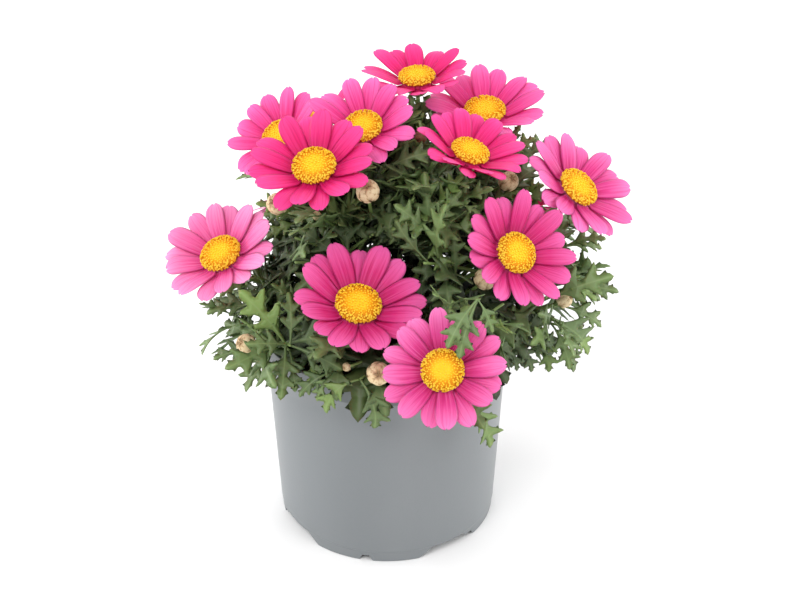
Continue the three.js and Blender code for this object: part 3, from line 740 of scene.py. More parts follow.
def disc_core(batch, bloom):
    """The closed dome that the florets stand on: golden in its middle, with painted shade that darkens it
    between the open florets.
    """
    edge = bloom.disc_radius
    profile = [(0.01, DISC_BASE), (edge * 0.84, DISC_BASE), (edge * 0.94, DISC_BASE + 0.4)]
    for number in range(10, -1, -1):
        radius, height = disc_surface(bloom, number / 10)
        profile.append((max(0.01, radius * 0.98), height - 0.25))
    points, faces, _ = revolved(profile, CORE_STEPS)
    reach = np.hypot(*(points[:, :2] / edge).T)
    # Painted shade: the core is darker where it lies between the open florets
    shade = np.clip((0.62 - reach) / 0.25, 0.0, 1.0) * 0.6
    batch.add(bloom.world(points), faces, np.stack([reach, shade], axis=1), 0.3)


def disc_slope(bloom, share):
    """How steep the dome falls off at a share of the way from its middle to its edge."""
    outer, lower = disc_surface(bloom, min(1.0, share + 0.03))
    inner, higher = disc_surface(bloom, max(0.0, share - 0.03))
    return min(1.2, math.atan2(higher - lower, max(0.01, outer - inner)))


def florets_piece(bloom, material):
    """The dome: a core, and florets in the sunflower spiral that stand out of it."""
    batch = Batch()
    disc_core(batch, bloom)
    for number in range(FLORETS):
        share = ((number + 0.6) / FLORETS) ** 0.53
        pick = draw(bloom.number, number, 51)
        angle = number * GOLDEN_TURN + 0.5 * share * (pick - 0.5)
        radius, height = disc_surface(bloom, share)
        openness = clamp((share - OPEN_FROM + 0.25 * (pick - 0.5)) * 3.0)
        lean = disc_slope(bloom, share) + mix(-0.45, 0.45, pick) * openness
        way = level_way(angle)
        normal = unit(way * math.sin(lean) + UP * math.cos(lean))
        size = bloom.disc_radius * mix(0.052, 0.044, share) * mix(0.85, 1.2, draw(bloom.number, number, 52))
        place = way * radius + UP * (height + 0.5 * openness * draw(bloom.number, number, 53))
        add_floret(batch, bloom, place, normal, size, openness, pick)
    return batch.make(f"florets_{bloom.name}", [material])


# Stems

SCALE_ROWS = 6
SCALE_COLUMNS = 5


def add_scale(batch, centre, axes, radius_at, height, angle, length, width, slot, pick, stand=0.35):
    """A bract that lies on a round body: radius_at(height) gives the body, height is its root."""
    points = []
    coords = []
    for row in range(SCALE_ROWS):
        share = row / (SCALE_ROWS - 1)
        z = height + length * share
        reach = radius_at(z) + stand * math.sin(min(1, share * 1.15) * math.pi * 0.75) + 0.05
        half = width / 2 * math.cos(max(0.0, share - 0.35) / 0.65 * math.pi / 2) ** 0.6
        half = max(half, width * 0.04)
        for column in range(SCALE_COLUMNS):
            side = 2 * column / (SCALE_COLUMNS - 1) - 1
            turn = angle + side * half / max(1.0, radius_at(z))
            lift = reach - 0.18 * side**2
            points.append((lift * math.cos(turn), lift * math.sin(turn), z))
            coords.append((side / 2 + 0.5, share))
    points = np.array(points)
    batch.add(centre + points @ axes, grid_faces(SCALE_ROWS, SCALE_COLUMNS), coords, pick, slot)


# Rows of bracts on the cup of a bloom, top row first: root height, length and width
CUP_ROWS = [(-3.6, 3.9, 3.6), (-5.0, 3.8, 3.1), (-6.2, 3.4, 2.2)]
CUP_TOP_BRACTS = 13


def add_cup(batch, bloom):
    """The green cup under a bloom, with rows of bracts that overlap."""
    rim = bloom.disc_radius * 0.8

    def radius_at(height):
        return mix(STEM_RADIUS, rim, clamp((height + CUP_DEPTH) / CUP_DEPTH) ** 0.55)

    heights = [-CUP_DEPTH * (1 - number / 8) for number in range(9)]
    profile = [(0.01, -CUP_DEPTH)] + [(radius_at(z) * 0.98, z) for z in heights] + [(0.01, 0.0)]
    points, faces, coords = revolved(profile, 20)
    batch.add(bloom.world(points), faces, coords, 0.4, BRACT_SLOT)
    for row, (height, length, width) in enumerate(CUP_ROWS):
        count = CUP_TOP_BRACTS - 2 * row
        for number in range(count):
            angle = (number + row / 2) / count * 2 * math.pi
            pick = draw(bloom.number, number + 20 * row, 61)
            add_scale(batch, bloom.origin, bloom.axes, radius_at, height, angle, length, width,
                      BRACT_SLOT, pick)


def bud_radius(radius):
    """The radius of a bud's ball as a function of the height over its middle."""
    def radius_at(height):
        share = min(0.999, max(-0.999, height / radius))
        return radius * 0.93 * math.sqrt(1 - abs(share) ** 2.3)
    return radius_at


CREASE_FOLDS = 5
# Rows of bracts on a bud, top row first: root height, length, breadth (shares of its radius) and count
BUD_ROWS = [(0.30, 0.62, 0.62, 9), (-0.05, 0.85, 0.80, 8), (-0.45, 0.92, 0.86, 7), (-0.84, 0.80, 0.80, 6)]


def add_bud_ball(batch, middle, axes, radius, slot):
    """The closed body of a bud, with a hollow at its top."""
    radius_at = bud_radius(radius)
    heights = np.linspace(-0.88, 0.86, 13) * radius
    profile = [(0.01, heights[0])] + [(radius_at(z) * 0.95, z) for z in heights] + [(0.01, radius * 0.62)]
    points, faces, _ = revolved(profile, 24)
    batch.add(middle + points @ axes, faces, np.tile([0.5, 0.9], (len(points), 1)), 0.5, slot)


def add_bud_bracts(batch, number, middle, axes, radius, slot):
    """The shingled rows of bracts, each row over the foot of the one before it."""
    radius_at = bud_radius(radius)
    for row, (low, length, breadth, count) in enumerate(BUD_ROWS):
        for each in range(count):
            angle = (each + row * 0.5 + 0.25 * draw(number, each, 62)) / count * 2 * math.pi
            pick = draw(number, each + 10 * row, 63)
            add_scale(batch, middle, axes, radius_at, low * radius, angle,
                      length * radius * mix(0.9, 1.1, pick), breadth * radius, slot, pick,
                      stand=(0.06 + 0.03 * row) * radius)


def add_bud_crease(batch, number, middle, axes, radius, slot):
    """The small folds that meet in the hollow at the top of a bud."""
    for each in range(CREASE_FOLDS):
        turn = 2 * math.pi * (each + 0.3 * draw(number, each, 65)) / CREASE_FOLDS
        way = level_way(turn)
        path = np.array([UP * 0.74, way * 0.25 + UP * 0.84, way * 0.5 + UP * 0.88]) * radius
        points, faces, _ = tube(path, [0.10 * radius, 0.07 * radius, 0.02 * radius], 5)
        coords = np.tile([0.5, 1.0], (len(points), 1))
        batch.add(middle + np.array(points) @ axes, faces, coords, 0.9, slot)


def add_bud(batch, number, middle, facing, width, slot=CREAM_SLOT):
    """A bud: its closed body, its bracts, and the folds in its crease."""
    axes = facing_axes(facing)
    add_bud_ball(batch, middle, axes, width / 2, slot)
    add_bud_bracts(batch, number, middle, axes, width / 2, slot)
    add_bud_crease(batch, number, middle, axes, width / 2, slot)


def bud_seat(width):
    """How far the top of a bud's stalk lies under the middle of the bud."""
    return width / 2 * BUD_FOOT_SHARE + CLEARANCE


def stalk_path(bend, share, middle, width):
    """Points of a side stalk, and the facing of its bud."""
    root = bend.at(share)
    middle = np.array(middle, float)
    reach = np.linalg.norm(middle - root)
    bulge = mix(root, middle, 0.6) - UP * reach * STALK_DIP
    facing = unit(middle - bulge)
    end = middle - facing * bud_seat(width)
    shares = np.linspace(0, 1, 14)
    path = [(1 - s) ** 2 * root + 2 * (1 - s) * s * bulge + s * s * end for s in shares]
    return path, facing


CUP_SCALES = 7


def add_bud_cup(batch, number, middle, facing, width):
    """The small green cup under a bud: a ring on its stalk, and narrow scales."""
    seat = bud_seat(width)
    axes = facing_axes(facing)
    profile = [(0.01, -seat - 1.8), (STALK_RADIUS * 0.95, -seat - 1.7), (1.5, -seat - 0.9)]
    profile += [(2.2, -seat), (0.01, -seat)]
    points, faces, coords = revolved(profile, 14)
    batch.add(middle + points @ axes, faces, coords, 0.3, BRACT_SLOT)
    radius_at = bud_radius(width / 2)
    for each in range(CUP_SCALES):
        add_scale(batch, middle, axes, radius_at, -seat * 0.98, each / CUP_SCALES * 2 * math.pi,
                  width * 0.28, width * 0.26, BRACT_SLOT, draw(number, each, 64), stand=0.5)


class Stem:
    """One stem: its curve, how far up it the leaves go, and the batch for all of its green bodies."""

    def __init__(self, number, name, end, facing, highest):
        self.number = number
        self.name = name
        self.facing = facing
        self.bend = stem_bend(end, facing)
        self.highest = highest
        self.batch = Batch()


def kept_leaves(stem, node):
    """The leaves by rule whose tips are corners of the stem's solid."""
    corners = [vertex.co for vertex in node.data.vertices]
    tree = KDTree(len(corners))
    for index, corner in enumerate(corners):
        tree.insert(corner, index)
    tree.balance()
    kept = []
    for number in range(LEAF_TRIES):
        leaf = ruled_leaf(stem.bend, stem.number, number, stem.highest)
        tip = leaf.points(np.array([1.0]), np.array([0.0]), np.array([0.35]))[0] * MM
        if tree.find(Vector(tip))[2] < 0.1 * MM:
            kept.append(number)
    return kept


# Where a stem runs under the surface of the compost, and how far its ribs stand out
BURIED = (-11.7, -6, -2)
RIBS = 0.05


def dress_stem(stem, kept, templates):
    """The stem itself, the leaves that its solid has too, and those placed one by one."""
    foot = stem.bend.at(0.0)
    path = [foot + UP * height for height in BURIED] + stem.bend.samples(28)
    radii = np.linspace(STEM_RADIUS, 1.0, len(path))
    stem.batch.add(*tube(path, radii, 12, RIBS), 0.3, STEM_SLOT)
    leaves = [ruled_leaf(stem.bend, stem.number, number, stem.highest) for number in kept]
    leaves += [aimed_leaf(stem.bend.at(share), tip, droop)
               for name, share, tip, droop in AIMED_LEAVES if name == stem.name]
    for index, leaf in enumerate(leaves):
        template = templates[(stem.number + index) % len(templates)]
        add_leaf(stem.batch, leaf, template, stem.number * 20 + index)


# More leaves than the solids carry: side shoots that fill the mound, sprung from the stems

# Leaves have no painted shade from this share of a dome outwards, and full painted shade from this one
# inwards
UNSHADED_REACH = 0.94
SHADED_REACH = 0.64
# Each dome of side shoots: name, middle, half sizes, and the number of shoots
DOMES = [
    ("mound", np.array([6.0, 2.0, 104.0]), np.array([92.0, 78.0, 84.0]), 100),
    ("crown", np.array([12.0, 18.0, 152.0]), np.array([54.0, 46.0, 46.0]), 44),
]
LEAVES_ON_SIDE_SHOOT = 8
SHOOT_POINTS = 12
# Leaves that arch out over the rim, and the stretch of it, in degrees, that has none
RIM_LEAVES = 30
BARE_RIM = (190, 240)
SPRIG_ROLL = 40


def side_shoot_targets(dome, centre, size, count):
    """Points spread evenly over a dome, some of them well inside it."""
    targets = []
    for number in range(count):
        height = 1 - (number + 0.5) / count * 0.98
        level = math.sqrt(1 - height**2)
        turn = number * GOLDEN_TURN
        depth = mix(0.55, 0.92, draw(number, dome, 71) ** 0.6)
        targets.append(centre + size * (level_way(turn) * level + UP * height) * depth)
    return targets


def nearest_root(target, stems):
    """The stem and the share of its bend that a side shoot for this target springs from.

    A place is best that is near, and 12 to 45 mm below the target.
    """
    best = None
    for stem in stems:
        for share in np.linspace(0.08, 0.8, 16):
            root = stem.bend.at(share)
            away = target - root
            cost = np.linalg.norm(away) + 2.5 * max(0.0, 12 - away[2]) + 0.6 * max(0.0, away[2] - 45)
            if best is None or cost < best[0]:
                best = (cost, stem, share)
    return best[1], best[2]


def side_shoot_bend(target, stems):
    """The curve of a side shoot, from the nearest stem to its target."""
    stem, share = nearest_root(target, stems)
    root = stem.bend.at(share)
    middle = mix(root, target, 0.5) + UP * np.linalg.norm(target - root) * 0.05
    return Bend([root, mix(root, middle, 0.7), mix(target, middle, 0.5), target])


def add_shoot(batch, bend, first, last, slot=STEM_SLOT):
    """A thin shoot along a curve, from its first to its last radius."""
    radii = np.linspace(first, last, SHOOT_POINTS)
    batch.add(*tube(bend.samples(SHOOT_POINTS), radii, 8, RIBS), 0.4, slot)


def side_shoot_leaves(number, bend):
    """Leaves in a spiral up a side shoot, shorter towards its end."""
    leaves = []
    for each in range(LEAVES_ON_SIDE_SHOOT):
        share = mix(0.35, 1.0, (each + draw(number, each, 72)) / LEAVES_ON_SIDE_SHOOT)
        turn = GOLDEN_TURN * each + 6.28 * draw(number, 0, 73)
        leaves.append(Leaf(
            *springing(bend, share, 0.25, turn),
            math.radians(mix(20, 70, draw(number, each, 74))),
            math.radians(mix(20, 80, draw(number, each, 75))),
            mix(44, 24, share) * mix(0.8, 1.15, draw(number, each, 76)),
            math.radians(mix(-22, 22, draw(number, each, 77))),
        ))
    return leaves


def fill_dome(dome, stems, crowd, templates):
    """Side shoots with leaves, all in one batch."""
    batch = Batch()
    _, centre, size, count = DOMES[dome]
    for number, target in enumerate(side_shoot_targets(dome + 1, centre, size, count)):
        bend = side_shoot_bend(target, stems)
        if not crowd.clear(np.array(bend.samples(SHOOT_POINTS)[2:])):
            continue
        add_shoot(batch, bend, 1.0, 0.6)
        seed = number + 200 * dome
        for each, leaf in enumerate(side_shoot_leaves(seed, bend)):
            if crowd.clear(leaf.probe()):
                add_leaf(batch, leaf, templates[(number + each) % len(templates)], seed * 31 + each)
    return batch


def add_sprig(batch, number, root, tips, droop, stems, templates):
    """A thin shoot from the nearest stem to a root, and one leaf from there to each tip."""
    add_shoot(batch, side_shoot_bend(root, stems), 0.9, 0.55)
    for each, tip in enumerate(tips):
        leaf = aimed_leaf(root, tip, droop, SPRIG_ROLL)
        add_leaf(batch, leaf, templates[(number + 2 * each) % len(templates)], number * 17 + each + 900)


def add_rim_leaf(batch, number, stems, templates):
    """A low leaf that arches out over the rim."""
    turn = (number + 0.6 * draw(number, 1, 91)) / RIM_LEAVES * 2 * math.pi
    root = level_way(turn) * mix(38, 48, draw(number, 2, 91)) + UP * mix(109, 118, draw(number, 3, 91))
    swung = level_way(turn + mix(-0.25, 0.25, draw(number, 4, 91)))
    tip = swung * mix(66, 76, draw(number, 5, 91)) + UP * mix(98, 112, draw(number, 6, 91))
    add_sprig(batch, number + 40, root, [tip], mix(75, 105, draw(number, 7, 91)), stems, templates)


def sprigs_batch(stems, templates):
    """The single leaves at the edges of the mound, and those over the rim."""
    batch = Batch()
    for number, (root, tips, droop) in enumerate(SPRIGS):
        add_sprig(batch, number, np.array(root, float), tips, droop, stems, templates)
    for number in range(RIM_LEAVES):
        if not BARE_RIM[0] < 360 * number / RIM_LEAVES < BARE_RIM[1]:
            add_rim_leaf(batch, number, stems, templates)
    return batch


def small_buds_batch(stems):
    """The smallest buds, each on a shoot from the nearest stem."""
    batch = Batch()
    for number, (middle, width, red) in enumerate(SMALL_BUDS):
        middle = np.array(middle, float)
        bend = side_shoot_bend(middle, stems)
        end = bend.way(1.0)
        bend = Bend([*bend.points[:3], middle - end * width * 0.45])
        add_shoot(batch, bend, 0.7, 0.5, SMALL_STALK_SLOT)
        add_bud(batch, number + 20, middle, end, width, RED_SLOT if red else CREAM_SLOT)
    return batch


# Pot and soil

def wall_radius(height):
    """The outer radius of the tapered wall below the rim band."""
    return mix(FOOT_RADIUS, RIM_RADIUS - BAND_STEP, height / POT_HEIGHT)


def foot_height(degrees):
    """How high the skirt is cut away at an angle round the pot."""
    highest = 0.0
    for cut in (ARCH, RECESS):
        for number in range(cut["count"]):
            away = (degrees - cut["first"] - 360 / cut["count"] * number + 180) % 360 - 180
            reach = abs(math.radians(away)) * FOOT_RADIUS
            slope = (cut["width"] - cut["top"]) / 2
            highest = max(highest, cut["height"] * clamp((cut["width"] / 2 - reach) / slope))
    return highest


POT_STEPS = 480
HOLE_STEPS = 32
RING_STEPS = 96
# A fine bead runs along the lower edge of the rim band
BAND_BEAD = 0.35


def wall_profile():
    """Points from the foot up the outside and down the inside.

    Each is a radius, a height, and whether the cut-outs of the foot lift it.
    """
    band = POT_HEIGHT - BAND_HEIGHT
    foot = FOOT_RADIUS - FOOT_LINE_STEP
    # The foot, and the fine line above it
    outer = [(foot - 0.3, 0.0, 1), (foot, 0.3, 1), (foot + 0.2, 5.3, 0)]
    outer += [(wall_radius(6) - 0.3, FOOT_LINE_HEIGHT - 0.1, 0)]
    outer += [(wall_radius(6.3), FOOT_LINE_HEIGHT + 0.3, 0)]
    # The tapered wall, and the rim band with its bead and its rounded top
    outer += [(wall_radius(z), z, 0) for z in (14, 25, 40, 55, 70, 85, band - 0.4)]
    outer += [(wall_radius(band) + 0.25, band - 0.05, 0), (RIM_RADIUS - 0.1, band + 0.05, 0)]
    outer += [(RIM_RADIUS + BAND_BEAD, band + 0.3, 0), (RIM_RADIUS + BAND_BEAD, band + 0.6, 0)]
    outer += [(RIM_RADIUS, band + 1.1, 0), (RIM_RADIUS, POT_HEIGHT - 0.9, 0)]
    outer += [(RIM_RADIUS - 0.15, POT_HEIGHT - 0.25, 0), (RIM_RADIUS - 0.55, POT_HEIGHT, 0)]
    inner = [(RIM_RADIUS - 1.1, POT_HEIGHT - 0.05, 0), (RIM_RADIUS - WALL, POT_HEIGHT - 0.5, 0)]
    inner += [(wall_radius(z) - WALL, z, 0) for z in (band, 60, FLOOR_HEIGHT + WALL, FLOOR_HEIGHT)]
    inner += [(foot - WALL, 0.3, 1), (foot - WALL + 0.3, 0.0, 1)]
    return outer + inner


def add_pot_wall(batch):
    """The wall turned from its profile, with the cut-outs along its foot."""
    profile = wall_profile()
    points = []
    coords = []
    for radius, height, at_foot in profile:
        for step in range(POT_STEPS):
            degrees = 360 * step / POT_STEPS
            angle = math.radians(degrees)
            z = height + (foot_height(degrees) if at_foot else 0.0)
            points.append((radius * math.cos(angle), radius * math.sin(angle), z))
            coords.append((step / POT_STEPS, height / POT_HEIGHT))
    faces = np.array(grid_faces(len(profile) + 1, POT_STEPS, wrap=True)) % len(points)
    batch.add(points, faces, coords, 0.5)


def circle(radius, steps, middle=(0.0, 0.0)):
    """Flat points of a circle."""
    turns = [2 * math.pi * step / steps for step in range(steps)]
    return [Vector((middle[0] + radius * math.cos(turn), middle[1] + radius * math.sin(turn)))
            for turn in turns]


def floor_triangles(loops, middles):
    """Flat points and triangles between the loops: not in the pad, and not in a drain hole."""
    vectors = [point for loop in loops for point in loop]
    links = []
    start = 0
    for loop in loops:
        links += [(start + i, start + (i + 1) % len(loop)) for i in range(len(loop))]
        start += len(loop)
    flat, _, triangles, _, _, _ = delaunay_2d_cdt(vectors, links, [], 0, 1e-5)
    flat = np.array([tuple(point) for point in flat])
    triangles = np.array([list(triangle) for triangle in triangles])
    centres = flat[triangles].mean(axis=1)
    solid = np.hypot(*centres.T) > PAD_RADIUS + PAD_SLOPE - WALL / 2 - 0.05
    for middle in middles:
        solid &= np.hypot(*(centres - middle).T) > DRAIN_RADIUS
    return flat, triangles[solid]


def add_pot_floor(batch):
    """The raised floor: a ring between the wall and the middle pad, with the drain holes through it."""
    outer = circle(wall_radius(FLOOR_HEIGHT) - WALL / 2, RING_STEPS)
    inner = circle(PAD_RADIUS + PAD_SLOPE - WALL / 2, RING_STEPS)
    middles = [tuple(middle) for middle in circle(DRAIN_CIRCLE, DRAIN_COUNT)]
    holes = [circle(DRAIN_RADIUS, HOLE_STEPS, middle) for middle in middles]
    flat, kept = floor_triangles([outer, inner, *holes], middles)
    low = np.column_stack([flat, np.full(len(flat), FLOOR_HEIGHT)])
    high = low + UP * WALL
    batch.add(np.concatenate([low, high]), np.concatenate([kept[:, ::-1], kept + len(flat)]))
    for hole in holes:
        rings = [(*point, height) for height in (FLOOR_HEIGHT + WALL, FLOOR_HEIGHT) for point in hole]
        batch.add(rings, grid_faces(2, HOLE_STEPS, wrap=True))


def pot_piece(material):
    """The shell: wall with its skirt, raised floor with drain holes, and the pad in its middle."""
    batch = Batch()
    add_pot_wall(batch)
    add_pot_floor(batch)
    edge = PAD_RADIUS + PAD_SLOPE
    pad = [(0.01, 0.0), (PAD_RADIUS - 0.4, 0.0), (PAD_RADIUS, 0.4), (edge, FLOOR_HEIGHT)]
    pad += [(edge, FLOOR_HEIGHT + WALL), (edge - WALL, FLOOR_HEIGHT + WALL)]
    pad += [(PAD_RADIUS - WALL, WALL), (0.01, WALL)]
    points, faces, coords = revolved(pad, RING_STEPS)
    batch.add(points, faces, coords, 0.5)
    return batch.make("pot_shell", [material], sharp_degrees=35)


def soil_height(x, y):
    """The uneven surface of the compost, the same as on its solid."""
    waves = math.sin(x * 0.21 + 1) * math.cos(y * 0.17) + 0.6 * math.sin(y * 0.31 - x * 0.12)
    return SOIL_HEIGHT + SOIL_RELIEF * waves


def soil_grain(x, y):
    """The finer relief that only the scene has."""
    return 0.35 * math.sin(x * 1.7 + 2 * math.sin(y * 1.1)) * math.sin(y * 1.9 + math.sin(x * 1.3))


CRUMBS = 420
CRUMB_SIDES = 7
# Rings of a crumb of size 1, from its foot to its top: radius and height
CRUMB_RINGS = [(0.0, -0.6), (0.8, -0.4), (1.0, 0.1), (0.7, 0.55), (0.0, 0.75)]
SOIL_RINGS = 26
SOIL_STEPS = 110


def add_crumb(batch, number, x, y, size):
    """A crumb of compost: a dented lump."""
    points = []
    for ring, (reach, height) in enumerate(CRUMB_RINGS):
        for side in range(CRUMB_SIDES):
            angle = side / CRUMB_SIDES * 2 * math.pi + number
            dent = mix(0.65, 1.2, draw(number, ring * CRUMB_SIDES + side, 81)) if reach else 0.0
            points.append((x + size * reach * dent * math.cos(angle),
                           y + size * reach * dent * math.sin(angle) * 0.8,
                           soil_height(x, y) + size * height * mix(0.7, 1.1, dent)))
    batch.add(points, grid_faces(len(CRUMB_RINGS), CRUMB_SIDES, wrap=True), pick=draw(number, 1, 82))


def soil_piece(material):
    """The plug of compost, which fills the pot from its floor, with crumbs on its surface."""
    batch = Batch()
    floor = FLOOR_HEIGHT + WALL + CLEARANCE
    inset = WALL + CLEARANCE + 0.4
    edge = wall_radius(SOIL_HEIGHT) - inset
    profile = [(0.01, WALL + CLEARANCE), (PAD_RADIUS - inset, WALL + CLEARANCE)]
    profile += [(PAD_RADIUS - inset + PAD_SLOPE, floor), (wall_radius(floor) - inset, floor)]
    profile += [(edge, SOIL_HEIGHT - 1.5), (edge - 0.4, SOIL_HEIGHT)]
    profile += [(edge * (1 - ring / SOIL_RINGS), SOIL_HEIGHT) for ring in range(1, SOIL_RINGS)]
    profile += [(0.01, SOIL_HEIGHT)]
    points, faces, coords = revolved(profile, SOIL_STEPS)
    for point in points:
        if point[2] > SOIL_HEIGHT - 1:
            point[2] = soil_height(*point[:2]) + soil_grain(*point[:2])
    batch.add(points, faces, coords)
    for number in range(CRUMBS):
        reach = edge * 0.96 * math.sqrt(draw(number, 2, 83))
        turn = number * GOLDEN_TURN
        size = mix(0.6, 2.1, draw(number, 3, 84) ** 2)
        add_crumb(batch, number, reach * math.cos(turn), reach * math.sin(turn), size)
    return batch.make("soil_bed", [material])


# Materials

def linear(colour):
    """An sRGB colour as the linear one that a shader takes."""
    parts = [c / 12.92 if c <= 0.04045 else ((c + 0.055) / 1.055) ** 2.4 for c in colour]
    return (*parts, 1.0)


def shader_colour(colour):
    """A plain number as that grey, and an sRGB colour as a linear one; four parts are linear already."""
    if isinstance(colour, (int, float)):
        return (colour, colour, colour, 1.0)
    return colour if len(colour) == 4 else linear(colour)


class Nodes:
    """A new material with a Principled shader, and short calls for the nodes before it."""

    def __init__(self, name, roughness):
        self.material = bpy.data.materials.new(name)
        self.material.use_nodes = True
        self.tree = self.material.node_tree
        self.shader = self.tree.nodes["Principled BSDF"]
        self.set("Roughness", roughness)

    def set(self, name, value):
        self.shader.inputs[name].default_value = value

    def node(self, kind, **settings):
        node = self.tree.nodes.new(kind)
        for key, value in settings.items():
            setattr(node, key, value)
        return node

    def link(self, source, target):
        self.tree.links.new(source, target)

    def uv(self, layer):
        """The two numbers of a UV layer as separate sockets."""
        source = self.node("ShaderNodeUVMap", uv_map=layer)
        split = self.node("ShaderNodeSeparateXYZ")
        self.link(source.outputs["UV"], split.inputs["Vector"])
        return split.outputs["X"], split.outputs["Y"]

    def stretched(self, scale=(1, 1, 1)):
        """Object coordinates, scaled by three numbers."""
        source = self.node("ShaderNodeTexCoord")
        mapping = self.node("ShaderNodeMapping")
        mapping.inputs["Scale"].default_value = scale
        self.link(source.outputs["Object"], mapping.inputs["Vector"])
        return mapping.outputs["Vector"]

    def noise(self, vector, scale, detail=4.0):
        noise = self.node("ShaderNodeTexNoise")
        noise.inputs["Scale"].default_value = scale
        noise.inputs["Detail"].default_value = detail
        noise.inputs["Roughness"].default_value = 0.55
        self.link(vector, noise.inputs["Vector"])
        return noise.outputs["Fac"]

    def ramp(self, factor, stops):
        """A colour ramp from stops: a position, and a colour or the grey that is read as a number."""
        ramp = self.node("ShaderNodeValToRGB")
        elements = ramp.color_ramp.elements
        while len(elements) < len(stops):
            elements.new(0.5)
        for element, (position, colour) in zip(elements, stops):
            element.position = position
            element.color = shader_colour(colour)
        self.link(factor, ramp.inputs["Fac"])
        return ramp.outputs["Color"]

    def math(self, operation, first, second=None):
        """A calculation with one or two values; each is a socket or a plain number."""
        node = self.node("ShaderNodeMath", operation=operation)
        for socket, value in zip(node.inputs, (first, second)):
            if isinstance(value, (int, float)):
                socket.default_value = value
            elif value is not None:
                self.link(value, socket)
        return node.outputs["Value"]

    def off_middle(self, across):
        """How far a point lies off the middle line of its body: 0 on it, 0.5 at the edge."""
        return self.math("ABSOLUTE", self.math("SUBTRACT", across, 0.5))

    def blend(self, kind, factor, base, tint):
        """A colour socket blended with one fixed colour, by as much as another socket says."""
        node = self.node("ShaderNodeMix", data_type="RGBA", blend_type=kind)
        colours = {socket.name: socket for socket in node.inputs if socket.type == "RGBA"}
        self.link(factor, node.inputs["Factor"])
        self.link(base, colours["A"])
        colours["B"].default_value = shader_colour(tint)
        return next(socket for socket in node.outputs if socket.type == "RGBA")

    def colour(self, socket):
        self.link(socket, self.shader.inputs["Base Color"])

    def bump(self, height, strength, distance):
        bump = self.node("ShaderNodeBump")
        bump.inputs["Strength"].default_value = strength
        bump.inputs["Distance"].default_value = distance
        self.link(height, bump.inputs["Height"])
        self.link(bump.outputs["Normal"], self.shader.inputs["Normal"])

    def strip_vector(self, across_scale, along_scale):
        """A vector for streaks along a petal or leaf, different on each body."""
        across, along = self.uv("along")
        pick, _ = self.uv("pick")
        join = self.node("ShaderNodeCombineXYZ")
        self.link(self.math("MULTIPLY", across, across_scale), join.inputs["X"])
        self.link(self.math("MULTIPLY", along, along_scale), join.inputs["Y"])
        self.link(self.math("MULTIPLY", pick, 40.0), join.inputs["Z"])
        return join.outputs["Vector"]


# How far off its middle a petal has its two dark lines, painted shade along its two grooves, as a share of
# its width
PETAL_LINE = 0.17


def petal_material(tone):
    """Streaked pink, paler to the tip, with two dark lines of painted groove shade along the petal and a pale
    or dark root.
    """
    body, tip, root, whiteness, _ = PETAL_TONES[tone]
    nodes = Nodes(f"petal_{tone}", 0.55)
    across, along = nodes.uv("along")
    pick, _ = nodes.uv("pick")
    pale_root = linear((0.98, 0.80, 0.90))
    ring = tuple(mix(*parts, whiteness) for parts in zip(linear(root), pale_root))
    length = nodes.ramp(along, [(0.0, ring), (0.14, root), (0.45, body), (1.0, tip)])
    streaks = nodes.noise(nodes.strip_vector(16.0, 1.2), 1.0, detail=3.0)
    paler = nodes.ramp(streaks, [(0.45, 0), (0.75, 0.45)])
    light = nodes.blend("MIX", paler, length, tip)
    darker = nodes.ramp(streaks, [(0.25, 0.7), (0.46, 0)])
    dark = nodes.blend("MULTIPLY", darker, light, (0.88, 0.58, 0.78))
    # Painted shade: two dark lines along the grooves of the petal
    off_line = nodes.math("ABSOLUTE", nodes.math("SUBTRACT", nodes.off_middle(across), PETAL_LINE))
    groove_shade = nodes.ramp(off_line, [(0.0, 0.28), (0.03, 0)])
    groove_shaded = nodes.blend("MULTIPLY", groove_shade, dark, (0.84, 0.50, 0.72))
    varied = nodes.blend("MULTIPLY", nodes.math("MULTIPLY", pick, 0.42), groove_shaded, (0.90, 0.62, 0.80))
    nodes.colour(varied)
    nodes.bump(nodes.noise(nodes.strip_vector(26.0, 2.0), 1.0), 0.25, 0.0004)
    nodes.set("Specular IOR Level", 0.2)
    nodes.set("Subsurface Weight", 0.12)
    nodes.set("Subsurface Scale", 0.002)
    return nodes.material


def floret_material():
    """Yellow with painted shade that darkens the foot of each floret, and more golden where they are still
    closed.
    """
    nodes = Nodes("floret_yellow", 0.65)
    openness, height = nodes.uv("along")
    pick, _ = nodes.uv("pick")
    yellows = [(0.0, (0.84, 0.56, 0.04)), (0.3, (0.98, 0.72, 0.07)),
               (0.6, (1.0, 0.82, 0.16)), (1.0, (1.0, 0.88, 0.34))]
    # Painted shade: the yellow darkens towards the foot of each floret
    base = nodes.ramp(height, yellows)
    warm = nodes.blend("MULTIPLY", nodes.math("MULTIPLY", pick, 0.25), base, (0.98, 0.80, 0.50))
    middle = nodes.ramp(openness, [(0.0, 0.35), (0.3, 0)])
    inner = nodes.blend("MIX", middle, warm, (0.98, 0.74, 0.10))
    nodes.colour(inner)
    nodes.bump(nodes.noise(nodes.stretched(), 2500.0), 0.3, 0.0002)
    nodes.set("Specular IOR Level", 0.25)
    return nodes.material


